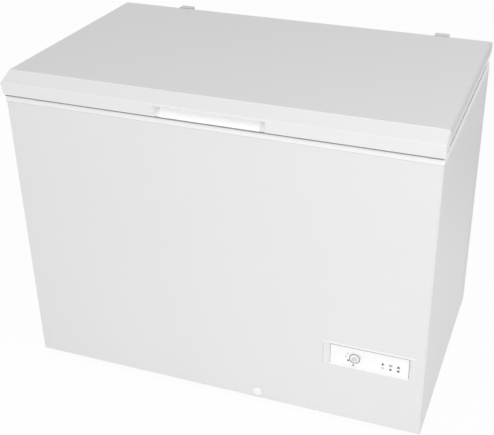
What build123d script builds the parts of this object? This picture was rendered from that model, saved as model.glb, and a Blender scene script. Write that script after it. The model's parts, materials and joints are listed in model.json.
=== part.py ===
from build123d import *
import math
import os

# Chest freezer, in millimetres. +Z is up, -Y faces the user and +X is the user's right.
# The origin is on the floor, under the middle of the overall box.

# ---- cabinet ----
cabinet_width = 1180.0
cabinet_depth = 698.0
foot_height = 18.0
sheet_height = 820.0  # painted sheet, from its lower edge to the plastic rim
sheet = 0.8
sheet_corner = 5.0  # bend of the sheet at the two front corners
rim_height = 16.0
rim_proud = 1.0  # how far the rim stands out over the sheet
rim_wall = 2.5
rim_round = 5.0
rim_edge = 2.0  # bevel along the rim's top edges
wall = 70.0  # foamed wall, outer sheet to storage space
floor_wall = 60.0
liner = 1.5
tub_corner = 30.0
ledge_width = 12.0  # shelf inside the mouth that carries the basket
ledge_drop = 8.0
flange_width = 50.0  # back panel folded round onto the sides
foam_relief = 2.0  # corners of the foam are cut off this far inside the shells
foam_corner = 18.0  # flat corner of the foam round the tub
touch_gap = 0.3

# ---- machine space and the step over it ----
machine_length = 290.0
machine_top = 278.0
machine_sheet = 1.0
machine_frame = 12.0  # back panel left round the opening
step_insulation = 60.0
base_sheet = 1.0
channel_count = 4
channel_pitch = 200.0
channel_width = 32.0
channel_margin = 90.0
channel_drop = 4.0
machine_plate = 2.0
leg_slot = 90.0  # slot in the lining beside the condenser's legs
slot_count = 5
slot_start = 110.0
slot_pitch = 24.0
slot_width = 8.0
slot_length = 160.0

# ---- lid ----
lid_gap = 17.0  # rim to lid underside, filled by the gasket
lid_height = 45.0
lid_overhang = 3.0
lip_reach = 6.0  # fascia's lower edge in front of the cabinet
ridge_reach = 12.0
ridge_drop = 21.5  # lid top down to the ridge
slope_depth = 33.3  # cabinet front back to the top of the slope
slope_drop = 2.0
lip_clearance = 3.5  # fascia's lower edge over the rim
lip_depth = 12.0
fascia_wall = 2.5
lid_sheet = 0.7
side_fold = 8.0  # radius where the lid sheet turns down at the sides
rear_fold = 9.0
lid_corner = 3.0  # upright corners of the lid sheet at the back
end_round = 5.5  # rounding at both ends of the fascia
tongue_depth = 8.0  # fascia's strip under the lid sheet
fold_relief = 0.5
ridge_round = 2.0
skirt_height = 25.0
trim_inset = 0.6
trim_band = 10.0
trim_step = 1.8
trim_wall = 2.5
trim_flange = 48.0
gasket_width = 16.0
gasket_pad = 8.0
gasket_root = 4.0
gasket_inset = 11.0  # gasket's outer edge in from the cabinet's side
lid_liner = 2.0
lid_liner_overlap = 18.0
dome_depth = 33.0  # lid liner's panel below the lid underside
dome_margin = 15.0
dome_draft = 14.0
dome_corner = 40.0

# ---- handle recess in the fascia ----
recess_half = 153.0
grip_half = 136.0
recess_top_drop = 7.0  # ridge down to the recess's roof
recess_depth = 22.0
recess_lip = 0.8  # depth of the recess at the lower edge
recess_wall = 2.2
grip_thickness = 1.8

# ---- hinges ----
hinge_reach = 22.0
hinge_inset = {"left": 206.0, "right": 148.5}  # hinge centres in from the cabinet's sides
pivot_behind = 12.5  # pivot axis behind the back panel
pivot_over_rim = 8.0
pin_radius = 3.0
pin_clearance = 0.06
ear_radius = 8.0
knuckle_radius = 5.8
bracket_steel = 1.5
bracket_width = 30.0
bracket_length = 118.0
bracket_drop = 16.0  # pivot down to the top of the bracket's web
bracket_foot = 12.0
leaf_clearance = 0.5
leaf_lift = 12.0  # pivot up to the leaf's lower web edge
leaf_height = 34.0
cam_width = 12.0
cam_closed = 11.3  # cam radius under the pivot with the lid shut
cam_open = 6.5
lid_travel = 80.0  # degrees
roller_radius = 3.0
roller_gap = 0.3
rod_radius = 2.5
spring_radius = 6.0
spring_wire = 1.8
spring_turns = 5
collar_radius = 8.0
collar_height = 3.0
nose_height = 12.0
rod_end = 6.0
cover_reach = 26.0
cover_base = 43.0
cover_rear = 41.0
cover_wall = 1.6
cover_drop = 1.0  # lid top down to the cover's top
cover_lift = 10.0  # pivot up to the cover's lower edge

# ---- control panel ----
panel_inset = 28.0  # bezel's end in from the cabinet's right side
panel_length = 257.0
panel_low = 190.0
panel_height = 79.0
plate_left = 22.0  # bezel's edges to the visible plate
plate_right = 15.5
plate_below = 6.5
plate_above = 11.0
mouth_inset = 5.0  # flat edge of the bezel round its ramps
plate_lap = 1.0  # plate hidden behind the bezel's mouth
panel_recess = 6.0
panel_proud = 0.4
panel_cut = 4.0  # bezel edge outside its hole in the sheet
bezel_depth = 14.0
plate_thickness = 2.0
knob_from_left = 92.6
knob_over_base = 38.9
knob_radius = 15.5
knob_disc = 4.0
knob_boss_radius = 8.0
knob_boss = 4.5
knob_bevel = 1.0
spindle_radius = 3.0
spindle_clearance = 0.06
spindle_length = 16.0
lamp_from_right = 45.0
lamp_pitch = 21.5
lamp_over_base = 22.5
lamp_radius = 2.6
lamp_proud = 0.4
housing_depth = 44.0
housing_wall = 2.0
board_side = 18.0  # circuit board past the outer lamps
board_below = 14.0
board_above = 24.0
board_behind = 10.0
board_thickness = 1.6

# ---- drain ----
drain_from_step = 122.5
drain_z = 40.0
drain_behind = 104.0  # cabinet front back to the drain hole in the floor
drain_bore = 9.2
drain_wall = 1.8
drain_flange = 14.5
drain_flange_thickness = 1.5
cap_radius = 15.0
cap_thickness = 4.5
cap_bevel = 2.6  # outer tier of the dome
cap_crown = 4.5  # flatter tier inside it
cap_bar = 0.8
stem_clearance = 0.3
cap_stem = 14.0
plug_radius = 17.0
plug_thickness = 4.0
plug_stem = 12.0

# ---- refrigeration ----
tube_gap = 0.3
evaporator_radius = 4.0
evaporator_low = 430.0
evaporator_pitch = 110.0
evaporator_start = 224.0  # legs on the right wall, in from the cabinet's back
evaporator_return = 184.0
evaporator_turn = 144.0
condenser_radius = 2.5
condenser_low = 420.0
condenser_high = 560.0
condenser_start = 304.0
coil_bend = 26.0
tube_end = 18.0  # coil legs reach this far under the machine space's roof
compressor_from_side = 150.0
compressor_from_back = 224.0
compressor_radius = 78.0
compressor_lift = 24.0
lower_shell = 88.0
upper_shell = 84.0
shell_shoulder = 26.0
shell_step = 3.0
shell_sides = 24
nut_radius = 7.5
nut_height = 6.0
relay_lift = 26.0
relay_size = (36.0, 60.0, 54.0)
relay_bevel = 8.0
compressor_foot = (210.0, 150.0)
foot_inset = 18.0
foot_plate = 3.0
grommet_radius = 11.0
pipe_radius = 4.0
small_pipe_radius = 2.5
pipe_bend = 12.0
capillary_bend = 6.0
capillary_radius = 1.2
outlet_drop = 40.0
outlet_jog = 40.0
pipe_jog = 26.0
pipe_drop = 30.0
pipe_front = 40.0
suction_level = 60.0  # ports over the compressor's underside
discharge_level = 40.0
capillary_side = 30.0
capillary_drop = 20.0
drier_radius = 9.0
drier_length = 80.0

# ---- machine space cover ----
cover_margin = 6.0
cover_dish = 8.0
cover_ramp = 12.0
cover_sheet = 1.2
louvre_rows = 8
louvre_height = 7.0
louvre_hood = 4.0
louvre_side = 16.0
louvre_middle = 20.0
gland_from_lining = 45.0
gland_z = 60.0
gland_radius = 9.0
gland_bore = 4.2
gland_flange = 13.0
gland_length = 17.0
gland_depth = 3.0

# ---- feet ----
foot_radius = 23.0
foot_bevel = 3.0
foot_inset_x = 60.0
foot_inset_y = 54.0

# ---- basket ----
basket_length = 250.0
basket_depth = 200.0
basket_inset = 18.0  # basket's end from the tub's left wall
basket_gap = 12.0  # basket wires from the front and back walls
hoop_wire = 2.5
grid_wire = 1.6
grid_pitch = 52.0
hoop_under_rim = 29.0
hanger_half = 80.0
hoop_corner = 12.0

# ---- lid lamp ----
lamp_base = (110.0, 50.0, 2.0)
lens = (96.0, 38.0, 4.5)
lid_lamp_behind = 150.0

# ---- derived places ----
half = cabinet_width / 2
front = -(ridge_reach + cabinet_depth + cover_reach) / 2 + ridge_reach
back = front + cabinet_depth
base_z = foot_height
sheet_top = base_z + sheet_height
rim_top = sheet_top + rim_height
tub_x = half - wall
tub_front = front + wall
tub_back = back - wall
tub_floor = base_z + floor_wall
tub_top = rim_top - ledge_drop - rim_wall
machine_x = half - machine_length
step_x = machine_x - step_insulation - liner
step_top = machine_top + step_insulation + liner
inner_front = front + sheet
inner_back = back - sheet
inner_x = half - sheet
lid_low = rim_top + lid_gap
lid_top = lid_low + lid_height
lid_x = half + lid_overhang
slope_y = front + slope_depth
slope_z = lid_top - slope_drop
ridge_y = front - ridge_reach
ridge_z = lid_top - ridge_drop
lip_y = front - lip_reach
lip_z = rim_top + lip_clearance
pivot_y = back + pivot_behind
pivot_z = rim_top + pivot_over_rim
hinge_centres = {"left": -half + hinge_inset["left"], "right": half - hinge_inset["right"]}
compressor_x = half - compressor_from_side
compressor_y = back - compressor_from_back
compressor_z = base_z + machine_plate + compressor_lift
gland_x = machine_x + gland_from_lining
drain_x = step_x - drain_from_step
panel_x = (half - panel_inset - panel_length, half - panel_inset)
panel_z = (panel_low, panel_low + panel_height)
plate_x = (panel_x[0] + plate_left, panel_x[1] - plate_right)
plate_z = (panel_z[0] + plate_below, panel_z[1] - plate_above)
knob_x = panel_x[0] + knob_from_left
knob_z = panel_z[0] + knob_over_base
lamp_x = [panel_x[1] - lamp_from_right - lamp_pitch * i for i in (2, 1, 0)]
lamp_z = panel_z[0] + lamp_over_base
evaporator_levels = [evaporator_low + evaporator_pitch * i for i in range(3)]
evaporator_legs = [back - reach for reach in (evaporator_start, evaporator_return, evaporator_turn)]
condenser_leg = back - condenser_start


stand = (Align.CENTER, Align.CENTER, Align.MIN)


def block(x0, x1, y0, y1, z0, z1):
    """A box between two corners."""
    return Pos((x0 + x1) / 2, (y0 + y1) / 2, (z0 + z1) / 2) * Box(x1 - x0, y1 - y0, z1 - z0)


def rod(axis, radius, x, y, z, length):
    """A cylinder that starts at a point and runs along +X, +Y or +Z."""
    turn = {"x": Rot(0, 90, 0), "y": Rot(-90, 0, 0), "z": Rot(0, 0, 0)}[axis]
    return Pos(x, y, z) * turn * Cylinder(radius, length, align=stand)


def along_x(outline, x0, x1):
    """A closed (y, z) outline carried from x0 to x1."""
    face = make_face(Polyline(*[(x0, y, z) for y, z in outline], close=True))
    return extrude(face, amount=x1 - x0, dir=(1, 0, 0))


def along_z(outline, z0, z1):
    """A closed (x, y) outline carried from z0 to z1."""
    face = make_face(Polyline(*[(x, y, z0) for x, y in outline], close=True))
    return extrude(face, amount=z1 - z0, dir=(0, 0, 1))


def round_upright(shape, radius, keep=lambda point: True):
    """Rounds the vertical edges whose middle passes the test."""
    edges = [e for e in shape.edges().filter_by(Axis.Z) if keep(e.center())]
    return fillet(edges, radius)


def eased(points, bend):
    """The same route with each corner cut off by a short diagonal."""
    route = [Vector(*points[0])]
    for before, corner, after in zip(points, points[1:], points[2:]):
        corner = Vector(*corner)
        route.append(corner + (Vector(*before) - corner).normalized() * bend)
        route.append(corner + (Vector(*after) - corner).normalized() * bend)
    return route + [Vector(*points[-1])]


def tube(points, bend, radius, sides=6):
    """A faceted bar along straight runs, mitred where they turn."""
    route = eased(points, bend)
    start = Plane(origin=route[0], z_dir=route[1] - route[0])
    return sweep(start * RegularPolygon(radius, sides), path=Polyline(*route), transition=Transition.RIGHT)


def groove(points, bend, half_width):
    """Square channels that clear a tube along its route."""
    route = eased(points, bend)
    reach = Vector(half_width, half_width, half_width)
    cuts = []
    for a, b in zip(route, route[1:]):
        low = Vector(min(a.X, b.X), min(a.Y, b.Y), min(a.Z, b.Z)) - reach
        high = Vector(max(a.X, b.X), max(a.Y, b.Y), max(a.Z, b.Z)) + reach
        cuts.append(block(low.X, high.X, low.Y, high.Y, low.Z, high.Z))
    return cuts


# ---------------------------------------------------------------- cabinet shells


def outer_wrapper():
    """Front and both sides, bent from one painted sheet, with its two holes."""
    at_front = lambda point: point.Y < 0
    skin = block(-half, half, front, inner_back, base_z, sheet_top)
    skin = round_upright(skin, sheet_corner, at_front)
    room = block(-inner_x, inner_x, inner_front, back, base_z - 1, sheet_top + 1)
    room = round_upright(room, sheet_corner - sheet, at_front)
    skin -= room
    skin -= block(
        panel_x[0] + panel_cut,
        panel_x[1] - panel_cut,
        front - 1,
        inner_front + sheet,
        panel_z[0] + panel_cut,
        panel_z[1] - panel_cut,
    )
    corner = (drain_bore + drain_wall) / math.cos(math.pi / 8)
    return skin - rod("y", corner + touch_gap, drain_x, front - 1, drain_z, sheet + 2)


def back_panel():
    """Back sheet with folded side flanges and the machine space's opening."""
    outside = half + sheet
    panel = block(-outside, outside, back - flange_width, back, base_z, sheet_top)
    panel = round_upright(panel, sheet * 2, lambda point: point.Y > back - 1)
    panel -= block(-half, half, back - flange_width - 1, inner_back, base_z - 1, sheet_top + 1)
    return panel - block(
        machine_x + machine_frame,
        inner_x - machine_frame,
        inner_back - 1,
        back + 1,
        base_z + machine_frame,
        machine_top - machine_frame,
    )


def base_tray():
    """Bottom sheet under the foamed part, with pressed stiffening channels."""
    tray = block(-inner_x, machine_x, inner_front, inner_back, base_z, base_z + base_sheet)
    tray -= front_notch(-1)
    first, last = front + channel_margin, back - channel_margin
    low = base_z - channel_drop
    outline = [(first, base_z), (last, base_z), (last - channel_drop, low), (first + channel_drop, low)]
    for i in range(channel_count):
        x = -half + channel_pitch * (i + 0.5)
        tray += along_x(outline, x - channel_width / 2, x + channel_width / 2)
    return tray


def front_notch(side):
    """What a flat sheet loses where it meets the bend in the outer sheet."""
    size = sheet_corner + foam_relief
    x = side * inner_x
    outline = [(x, inner_front), (x, inner_front + size), (x - side * size, inner_front)]
    return along_z(outline if side > 0 else outline[::-1], base_z - 1, machine_top + 1)


def tub_space(grow, corner, top, soften=fillet):
    """The storage space grown on every wall; its floor steps up over the machine space."""
    space = block(
        -tub_x - grow, tub_x + grow, tub_front - grow, tub_back + grow, tub_floor - grow, top
    )
    space = soften(space.edges().filter_by(Axis.Z), corner)
    return space - block(
        step_x + grow, half, tub_front - wall, tub_back + wall, base_z, step_top - grow
    )


def inner_liner():
    """Storage tub formed from one sheet, with the drain hole in its floor."""
    tub = tub_space(liner, tub_corner + liner, tub_top) - tub_space(0, tub_corner, rim_top)
    return tub - rod("z", drain_bore, drain_x, front + drain_behind, base_z, floor_wall + 1)


def rim_core():
    """The hollow under the rim, which the foam fills."""
    mouth = ledge_width + rim_wall
    high = ring_block(rim_wall, -mouth, sheet_top, rim_top - rim_wall)
    low = ring_block(rim_wall, -liner, sheet_top, tub_top)
    return high + low


def ring_block(inset, grow, z0, z1):
    """A square ring between the cabinet's outline and the tub's, cut off at its corners."""
    x, y0, y1 = half - inset, front + inset, back - inset
    hole = block(-tub_x + grow, tub_x - grow, tub_front + grow, tub_back - grow, z0 - 1, z1 + 1)
    hole = chamfer(hole.edges().filter_by(Axis.Z), foam_corner)
    return along_z(cut_corners(-x, x, y0, y1, rim_round + foam_relief), z0, z1) - hole


def cut_corners(x0, x1, y0, y1, c):
    """A rectangle's outline with its corners cut off."""
    return [
        (x0 + c, y0), (x1 - c, y0), (x1, y0 + c), (x1, y1 - c),
        (x1 - c, y1), (x0 + c, y1), (x0, y1 - c), (x0, y0 + c),
    ]


def top_rim():
    """Plastic frame that joins the outer sheet to the tub, with the basket ledge."""
    side = half + rim_proud
    rim = block(-side, side, front - rim_proud, back, sheet_top, rim_top)
    rim = round_upright(rim, rim_round)
    rim = chamfer(rim.faces().sort_by(Axis.Z)[-1].edges(), rim_edge)
    rim -= tub_space(0, tub_corner, rim_top + 1)
    rim -= block(
        -tub_x - ledge_width,
        tub_x + ledge_width,
        tub_front - ledge_width,
        tub_back + ledge_width,
        rim_top - ledge_drop,
        rim_top + 1,
    )
    rim -= tub_space(liner, tub_corner + liner, tub_top)
    return rim - rim_core()


def coil_path(half_x, y0, y1, levels, legs, bottom):
    """Loops round the tub, one above the other, turning back at a gap on the right wall."""
    start, middle, turn = legs
    points = [(half_x, start, bottom)]
    here = start
    for level in levels:
        points.append((half_x, here, level))
        loop = [(half_x, y0), (-half_x, y0), (-half_x, y1), (half_x, y1)]
        if here == turn:
            loop.reverse()
        points += [(x, y, level) for x, y in loop]
        here = turn if here == start else start
        last = middle if level == levels[-1] else here
        points.append((half_x, last, level))
    points.append((half_x, middle, bottom))
    return points


def evaporator_points():
    offset = liner + tube_gap + evaporator_radius
    return coil_path(
        tub_x + offset,
        tub_front - offset,
        tub_back + offset,
        evaporator_levels,
        evaporator_legs,
        machine_top - tube_end,
    )


def evaporator_bend():
    """Corner cut that keeps the tube just clear of the tub's rounded corner."""
    return (tub_corner + liner + tube_gap + evaporator_radius) * (2 - math.sqrt(2))


def condenser_points():
    """Skin condenser: up the right side, round the front and back again higher up."""
    x = inner_x - tube_gap - condenser_radius
    y = inner_front + tube_gap + condenser_radius
    low, high = condenser_low, condenser_high
    rear = inner_back - 3 * coil_bend
    bottom = machine_top - tube_end
    return [
        (x, condenser_leg, bottom),
        (x, condenser_leg, low),
        (x, y, low),
        (-x, y, low),
        (-x, rear, low),
        (-x, rear, high),
        (-x, y, high),
        (x, y, high),
        (x, rear, high),
        (x, rear, bottom),
    ]


def evaporator_coil():
    """Tube wound round the outside of the tub."""
    return tube(evaporator_points(), evaporator_bend(), evaporator_radius, 8)


def condenser_coil():
    """Tube laid against the inside of the outer sheet."""
    return tube(condenser_points(), coil_bend, condenser_radius)


def cabinet_foam():
    """Insulation between the shells, with channels for both coils and the drain."""
    foam = block(-inner_x, inner_x, inner_front, inner_back, base_z + base_sheet, sheet_top)
    foam -= tub_space(liner, foam_corner, rim_top, chamfer)
    foam += rim_core()
    for side in (-1, 1):
        size = sheet_corner + foam_relief
        x = side * inner_x
        outline = [(x, inner_front), (x, inner_front + size), (x - side * size, inner_front)]
        foam -= along_z(outline if side > 0 else outline[::-1], base_z, sheet_top)
    foam -= block(machine_x, half, front, back, base_z, machine_top)
    for cut in groove(evaporator_points(), evaporator_bend(), evaporator_radius + tube_gap):
        foam -= cut
    for cut in groove(condenser_points(), coil_bend, condenser_radius + tube_gap):
        foam -= cut
    reach = drain_bore + drain_wall + touch_gap
    y = front + drain_behind
    foam -= block(drain_x - reach, drain_x + reach, front, y + reach, drain_z - reach, drain_z + reach)
    return foam - block(drain_x - reach, drain_x + reach, y - reach, y + reach, drain_z, tub_floor)


def drain_tube():
    """Faceted elbow from the tub's floor to a flange on the cabinet's front."""
    y = front + drain_behind
    mouth = front - drain_flange_thickness
    top = tub_floor - liner
    route = [Vector(drain_x, mouth, drain_z), Vector(drain_x, y, drain_z), Vector(drain_x, y, top)]
    start = Plane(origin=route[0], z_dir=(0, 1, 0), x_dir=(1, 0, 0))

    def leg(inradius):
        section = start * RegularPolygon(inradius, 8, major_radius=False, rotation=22.5)
        return sweep(section, path=Polyline(*route), transition=Transition.RIGHT)

    flange = start * RegularPolygon(drain_flange, 16)
    elbow = leg(drain_bore + drain_wall) + extrude(flange, amount=drain_flange_thickness)
    return elbow - leg(drain_bore)


def drain_cap():
    """Outer drain cap: a domed disc with a finger bar and a stem for the spout."""
    y = front - drain_flange_thickness - touch_gap
    seat = Plane(origin=(drain_x, y, drain_z), z_dir=(0, 1, 0))
    cap = extrude(seat * RegularPolygon(cap_radius, 24), amount=-cap_thickness)
    for across, down in ((cap_bevel, cap_bevel), (cap_crown, cap_bevel / 2)):
        top = cap.faces().sort_by(Axis.Y)[0]
        cap = chamfer(top.edges(), across, down, reference=top)
    bar = cap_radius / 2
    face = y - cap_thickness - cap_bar
    cap += block(drain_x - bar, drain_x + bar, face, y, drain_z - 1.5, drain_z + 1.5)
    return cap + extrude(seat * RegularPolygon(drain_bore - stem_clearance, 8), amount=cap_stem)


def drain_plug():
    """Stopper in the tub's floor."""
    y = front + drain_behind
    base = tub_floor + touch_gap
    seat = Plane(origin=(drain_x, y, base))
    plug = extrude(seat * RegularPolygon(plug_radius, 24), amount=plug_thickness)
    top = base + plug_thickness
    plug += block(drain_x - 10, drain_x + 10, y - 2, y + 2, top, top + 7)
    return plug + extrude(seat * RegularPolygon(drain_bore - stem_clearance, 8), amount=-plug_stem)


def feet():
    """Four moulded feet under the base, bevelled at the floor."""
    group = []
    for x in (-half + foot_inset_x, half - foot_inset_x):
        for y in (front + foot_inset_y, back - foot_inset_y):
            foot = extrude(Pos(x, y, 0) * RegularPolygon(foot_radius, 16), amount=foot_height)
            group.append(chamfer(foot.faces().sort_by(Axis.Z)[0].edges(), foot_bevel))
    return group


# ---------------------------------------------------------------- machine space


def machine_box():
    """Sheet lining of the machine space, open at the back and below."""
    t = machine_sheet
    box = block(machine_x, inner_x, inner_front, inner_back, base_z + machine_plate, machine_top)
    box -= block(machine_x + t, inner_x - t, inner_front + t, back, base_z, machine_top - t)
    box -= front_notch(1)
    box -= block(
        panel_x[0] + panel_cut,
        panel_x[1] - panel_cut,
        front,
        inner_front + 3,
        panel_z[0] + panel_cut,
        panel_z[1] - panel_cut,
    )
    reach = evaporator_radius + tube_gap
    x = evaporator_points()[0][0]
    for y in evaporator_legs[:2]:
        box -= block(x - reach, x + reach, y - reach, y + reach, machine_top - 5, machine_top + 1)
    reach = condenser_radius + tube_gap
    x = condenser_points()[0][0]
    for y in (condenser_leg, condenser_points()[-1][1]):
        box -= block(x - reach, half, y - reach, y + reach, machine_top - leg_slot, machine_top + 1)
    return box


def machine_floor():
    """Steel plate that carries the compressor, with cooling slots in front of it."""
    plate = block(machine_x, inner_x, inner_front, inner_back, base_z, base_z + machine_plate)
    plate -= front_notch(1)
    middle = (machine_x + inner_x) / 2
    for i in range(slot_count):
        y = front + slot_start + slot_pitch * i
        plate -= block(
            middle - slot_length / 2, middle + slot_length / 2, y, y + slot_width, base_z - 1, base_z + 5
        )
    return plate


def grommet_places():
    dx = compressor_foot[0] / 2 - foot_inset
    dy = compressor_foot[1] / 2 - foot_inset
    return [(compressor_x + sx * dx, compressor_y + sy * dy) for sx in (-1, 1) for sy in (-1, 1)]


def compressor_base():
    """Pressed plate under the compressor, cut off at its corners."""
    z = compressor_z - foot_plate
    w, d = compressor_foot[0] / 2, compressor_foot[1] / 2
    outline = cut_corners(
        compressor_x - w, compressor_x + w, compressor_y - d, compressor_y + d, foot_inset
    )
    return along_z(outline, z, z + foot_plate)


def compressor_grommets():
    """Rubber mounts between the floor plate and the compressor's base."""
    z = base_z + machine_plate
    section = RegularPolygon(grommet_radius, 12)
    height = compressor_lift - foot_plate
    return [Pos(x, y, z) * extrude(section, amount=height) for x, y in grommet_places()]


def compressor_nuts():
    """Nuts that clamp the base on the grommets."""
    z = compressor_z
    group = []
    for x, y in grommet_places():
        group.append(Pos(x, y, z) * extrude(RegularPolygon(nut_radius, 6), amount=nut_height))
    return group


def drum(radius, z0, z1):
    """Upright faceted drum on the compressor's axis, flat towards +X and -Y."""
    plane = Plane(origin=(compressor_x, compressor_y, z0))
    return extrude(plane * RegularPolygon(radius, shell_sides, rotation=180 / shell_sides), amount=z1 - z0)


def compressor_lower():
    """Lower half of the hermetic shell."""
    z = compressor_z
    shell = drum(compressor_radius - shell_step, z, z + lower_shell)
    return chamfer(shell.faces().sort_by(Axis.Z)[0].edges(), shell_shoulder / 2)


def compressor_upper():
    """Upper half of the shell, over the lower half's rim."""
    z = compressor_z + lower_shell
    shell = drum(compressor_radius, z, z + upper_shell)
    return chamfer(shell.faces().sort_by(Axis.Z)[-1].edges(), shell_shoulder)


def relay_box():
    """Start relay and overload under a plastic cover on the compressor's side."""
    x = compressor_x - shell_flat()
    z = compressor_z + relay_lift
    w, d, h = relay_size
    box = block(x - w, x, compressor_y - d / 2, compressor_y + d / 2, z, z + h)
    box = chamfer(box.faces().sort_by(Axis.X)[0].edges().filter_by(Axis.Z), relay_bevel)
    return box - drum(compressor_radius - shell_step, z - 1, z + h + 1)


def suction_pipe():
    """Return line from the evaporator to the compressor."""
    x, y, z = evaporator_points()[0]
    shell = compressor_y - shell_flat()
    level = compressor_z + suction_level
    low = z - pipe_drop
    front_run = shell - pipe_front
    return tube(
        [
            (x, y, z), (x, y, low), (x, front_run, low), (compressor_x, front_run, low),
            (compressor_x, front_run, level), (compressor_x, shell, level),
        ],
        pipe_bend,
        pipe_radius,
    )


def shell_flat():
    """Distance from the lower shell's axis to the middle of one of its facets."""
    return (compressor_radius - shell_step) * math.cos(math.pi / shell_sides)


def discharge_pipe():
    """Hot line from the compressor to the skin condenser."""
    x, y, z = condenser_points()[0]
    shell = compressor_x + shell_flat()
    level = compressor_z + discharge_level
    across = z - outlet_drop / 2
    inner = x - pipe_jog
    return tube(
        [
            (x, y, z), (x, y, across), (inner, y, across), (inner, y, level),
            (inner, compressor_y, level), (shell, compressor_y, level),
        ],
        outlet_drop / 4,
        small_pipe_radius,
    )


def filter_drier():
    """Copper drier between the condenser and the capillary."""
    x, y, z = condenser_points()[-1]
    top = z - outlet_drop
    low = top - drier_length
    neck = 10
    body = Plane(origin=(x - outlet_jog, y, low + neck)) * RegularPolygon(drier_radius, 12)
    shape = extrude(body, amount=drier_length - 2 * neck)
    for z0 in (low, top - neck):
        end = Plane(origin=(x - outlet_jog, y, z0)) * RegularPolygon(drier_radius / 2, 12)
        shape += extrude(end, amount=neck)
    return shape


def condenser_outlet():
    """Short line from the condenser down into the drier."""
    x, y, z = condenser_points()[-1]
    across = z - outlet_drop / 2
    return tube(
        [(x, y, z), (x, y, across), (x - outlet_jog, y, across), (x - outlet_jog, y, z - outlet_drop)],
        outlet_drop / 4,
        small_pipe_radius,
    )


def capillary_tube():
    """Thin line from the drier up to the evaporator's second leg."""
    x, y, z = condenser_points()[-1]
    cx, low = x - outlet_jog, z - outlet_drop - drier_length
    ex, ey, ez = evaporator_points()[-1]
    side = y - capillary_side
    drop = capillary_drop
    return tube(
        [
            (cx, y, low), (cx, y, low - drop), (cx, side, low - drop), (cx, side, ez - drop),
            (ex, side, ez - drop), (ex, ey, ez - drop), (ex, ey, ez),
        ],
        capillary_bend,
        capillary_radius,
    )


def rear_grille():
    """Dished steel cover over the machine space, with rows of hooded louvres."""
    x0, x1 = machine_x + cover_margin, inner_x - cover_margin
    z0, z1 = base_z + cover_margin, machine_top - cover_margin

    def dish(inset, y0, depth):
        """A low pyramid on a rectangle inset from the cover's edge."""
        centre = ((x0 + x1) / 2, (z0 + z1) / 2)
        w, h = x1 - x0 - 2 * inset, z1 - z0 - 2 * inset
        plane = Plane(origin=(centre[0], y0, centre[1]), x_dir=(1, 0, 0), z_dir=(0, 1, 0))
        low = plane * Rectangle(w, h)
        high = plane.offset(depth) * Rectangle(w - 2 * cover_ramp, h - 2 * cover_ramp)
        return loft([low, high])

    cover = block(x0, x1, back, back + cover_sheet, z0, z1)
    cover += dish(cover_ramp, back + cover_sheet, cover_dish)
    cover -= dish(cover_ramp + cover_sheet, back, cover_dish)
    face = back + cover_sheet + cover_dish
    inner = cover_ramp * 2 + louvre_side
    middle = (x0 + x1) / 2
    bottom = gland_z + gland_flange + 14
    pitch = (z1 - inner - bottom) / (louvre_rows - 1)
    for column in ((x0 + inner, middle - louvre_middle / 2), (middle + louvre_middle / 2, x1 - inner)):
        for row in range(louvre_rows):
            z = bottom + pitch * row
            cover -= block(column[0], column[1], face - cover_sheet - 1, face + 1, z, z + louvre_height)
            hood = [
                (face - cover_sheet, z + louvre_height),
                (face + louvre_hood - cover_sheet, z + 1),
                (face + louvre_hood, z + 1),
                (face, z + louvre_height + 3),
                (face - cover_sheet, z + louvre_height + 3),
            ]
            cover += along_x(hood, column[0], column[1])
    return cover - rod("y", gland_radius + touch_gap, gland_x, back - 1, gland_z, 20)


def cord_gland():
    """Gland for the mains lead in the cover, empty here."""
    face = back + cover_sheet + cover_dish
    seat = Plane(origin=(gland_x, face, gland_z), z_dir=(0, 1, 0))
    gland = extrude(seat * RegularPolygon(gland_radius, 12), amount=gland_depth - gland_length)
    gland += extrude(seat * RegularPolygon(gland_flange, 16), amount=gland_depth)
    return gland - rod("y", gland_bore, gland_x, face - gland_length, gland_z, 2 * gland_length)


# ---------------------------------------------------------------- control panel


def control_bezel():
    """Recessed surround with ramped ends."""
    face = front - panel_proud
    floor_y = front + panel_recess
    bezel = block(panel_x[0], panel_x[1], face, front, panel_z[0], panel_z[1])
    body = block(
        panel_x[0] + panel_cut + touch_gap,
        panel_x[1] - panel_cut - touch_gap,
        front,
        front + bezel_depth,
        panel_z[0] + panel_cut + touch_gap,
        panel_z[1] - panel_cut - touch_gap,
    )
    bezel += body

    def mouth(x0, x1, za, zb, y):
        plane = Plane(origin=((x0 + x1) / 2, y, (za + zb) / 2), x_dir=(1, 0, 0), z_dir=(0, -1, 0))
        return plane * Rectangle(x1 - x0, zb - za)

    edge = mouth_inset
    wide = mouth(panel_x[0] + edge, panel_x[1] - edge, panel_z[0] + edge, panel_z[1] - edge, face)
    deep = mouth(*plate_x, *plate_z, floor_y)
    bezel -= loft([wide, deep])
    return bezel - plate_block(floor_y, front + bezel_depth + 1)


def plate_block(y0, y1):
    """The plate's outline, lapped behind the bezel's mouth, between two depths."""
    lap = plate_lap
    return block(plate_x[0] - lap, plate_x[1] + lap, y0, y1, plate_z[0] - lap, plate_z[1] + lap)


def control_plate():
    """White front plate in the bezel, with holes for the spindle and lamps."""
    y = front + panel_recess
    plate = plate_block(y, y + plate_thickness)
    hole = Plane(origin=(knob_x, y, knob_z), z_dir=(0, 1, 0)) * RegularPolygon(spindle_radius + 1, 8)
    plate -= extrude(hole, amount=plate_thickness)
    for lamp in lamp_pins(lamp_radius + 0.1, y, plate_thickness):
        plate -= lamp
    return plate


def lamp_pins(radius, y, length):
    """Twelve-sided pins at the lamps' places."""
    pins = []
    for x in lamp_x:
        face = Plane(origin=(x, y, lamp_z), z_dir=(0, 1, 0)) * RegularPolygon(radius, 12)
        pins.append(extrude(face, amount=length))
    return pins


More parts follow.
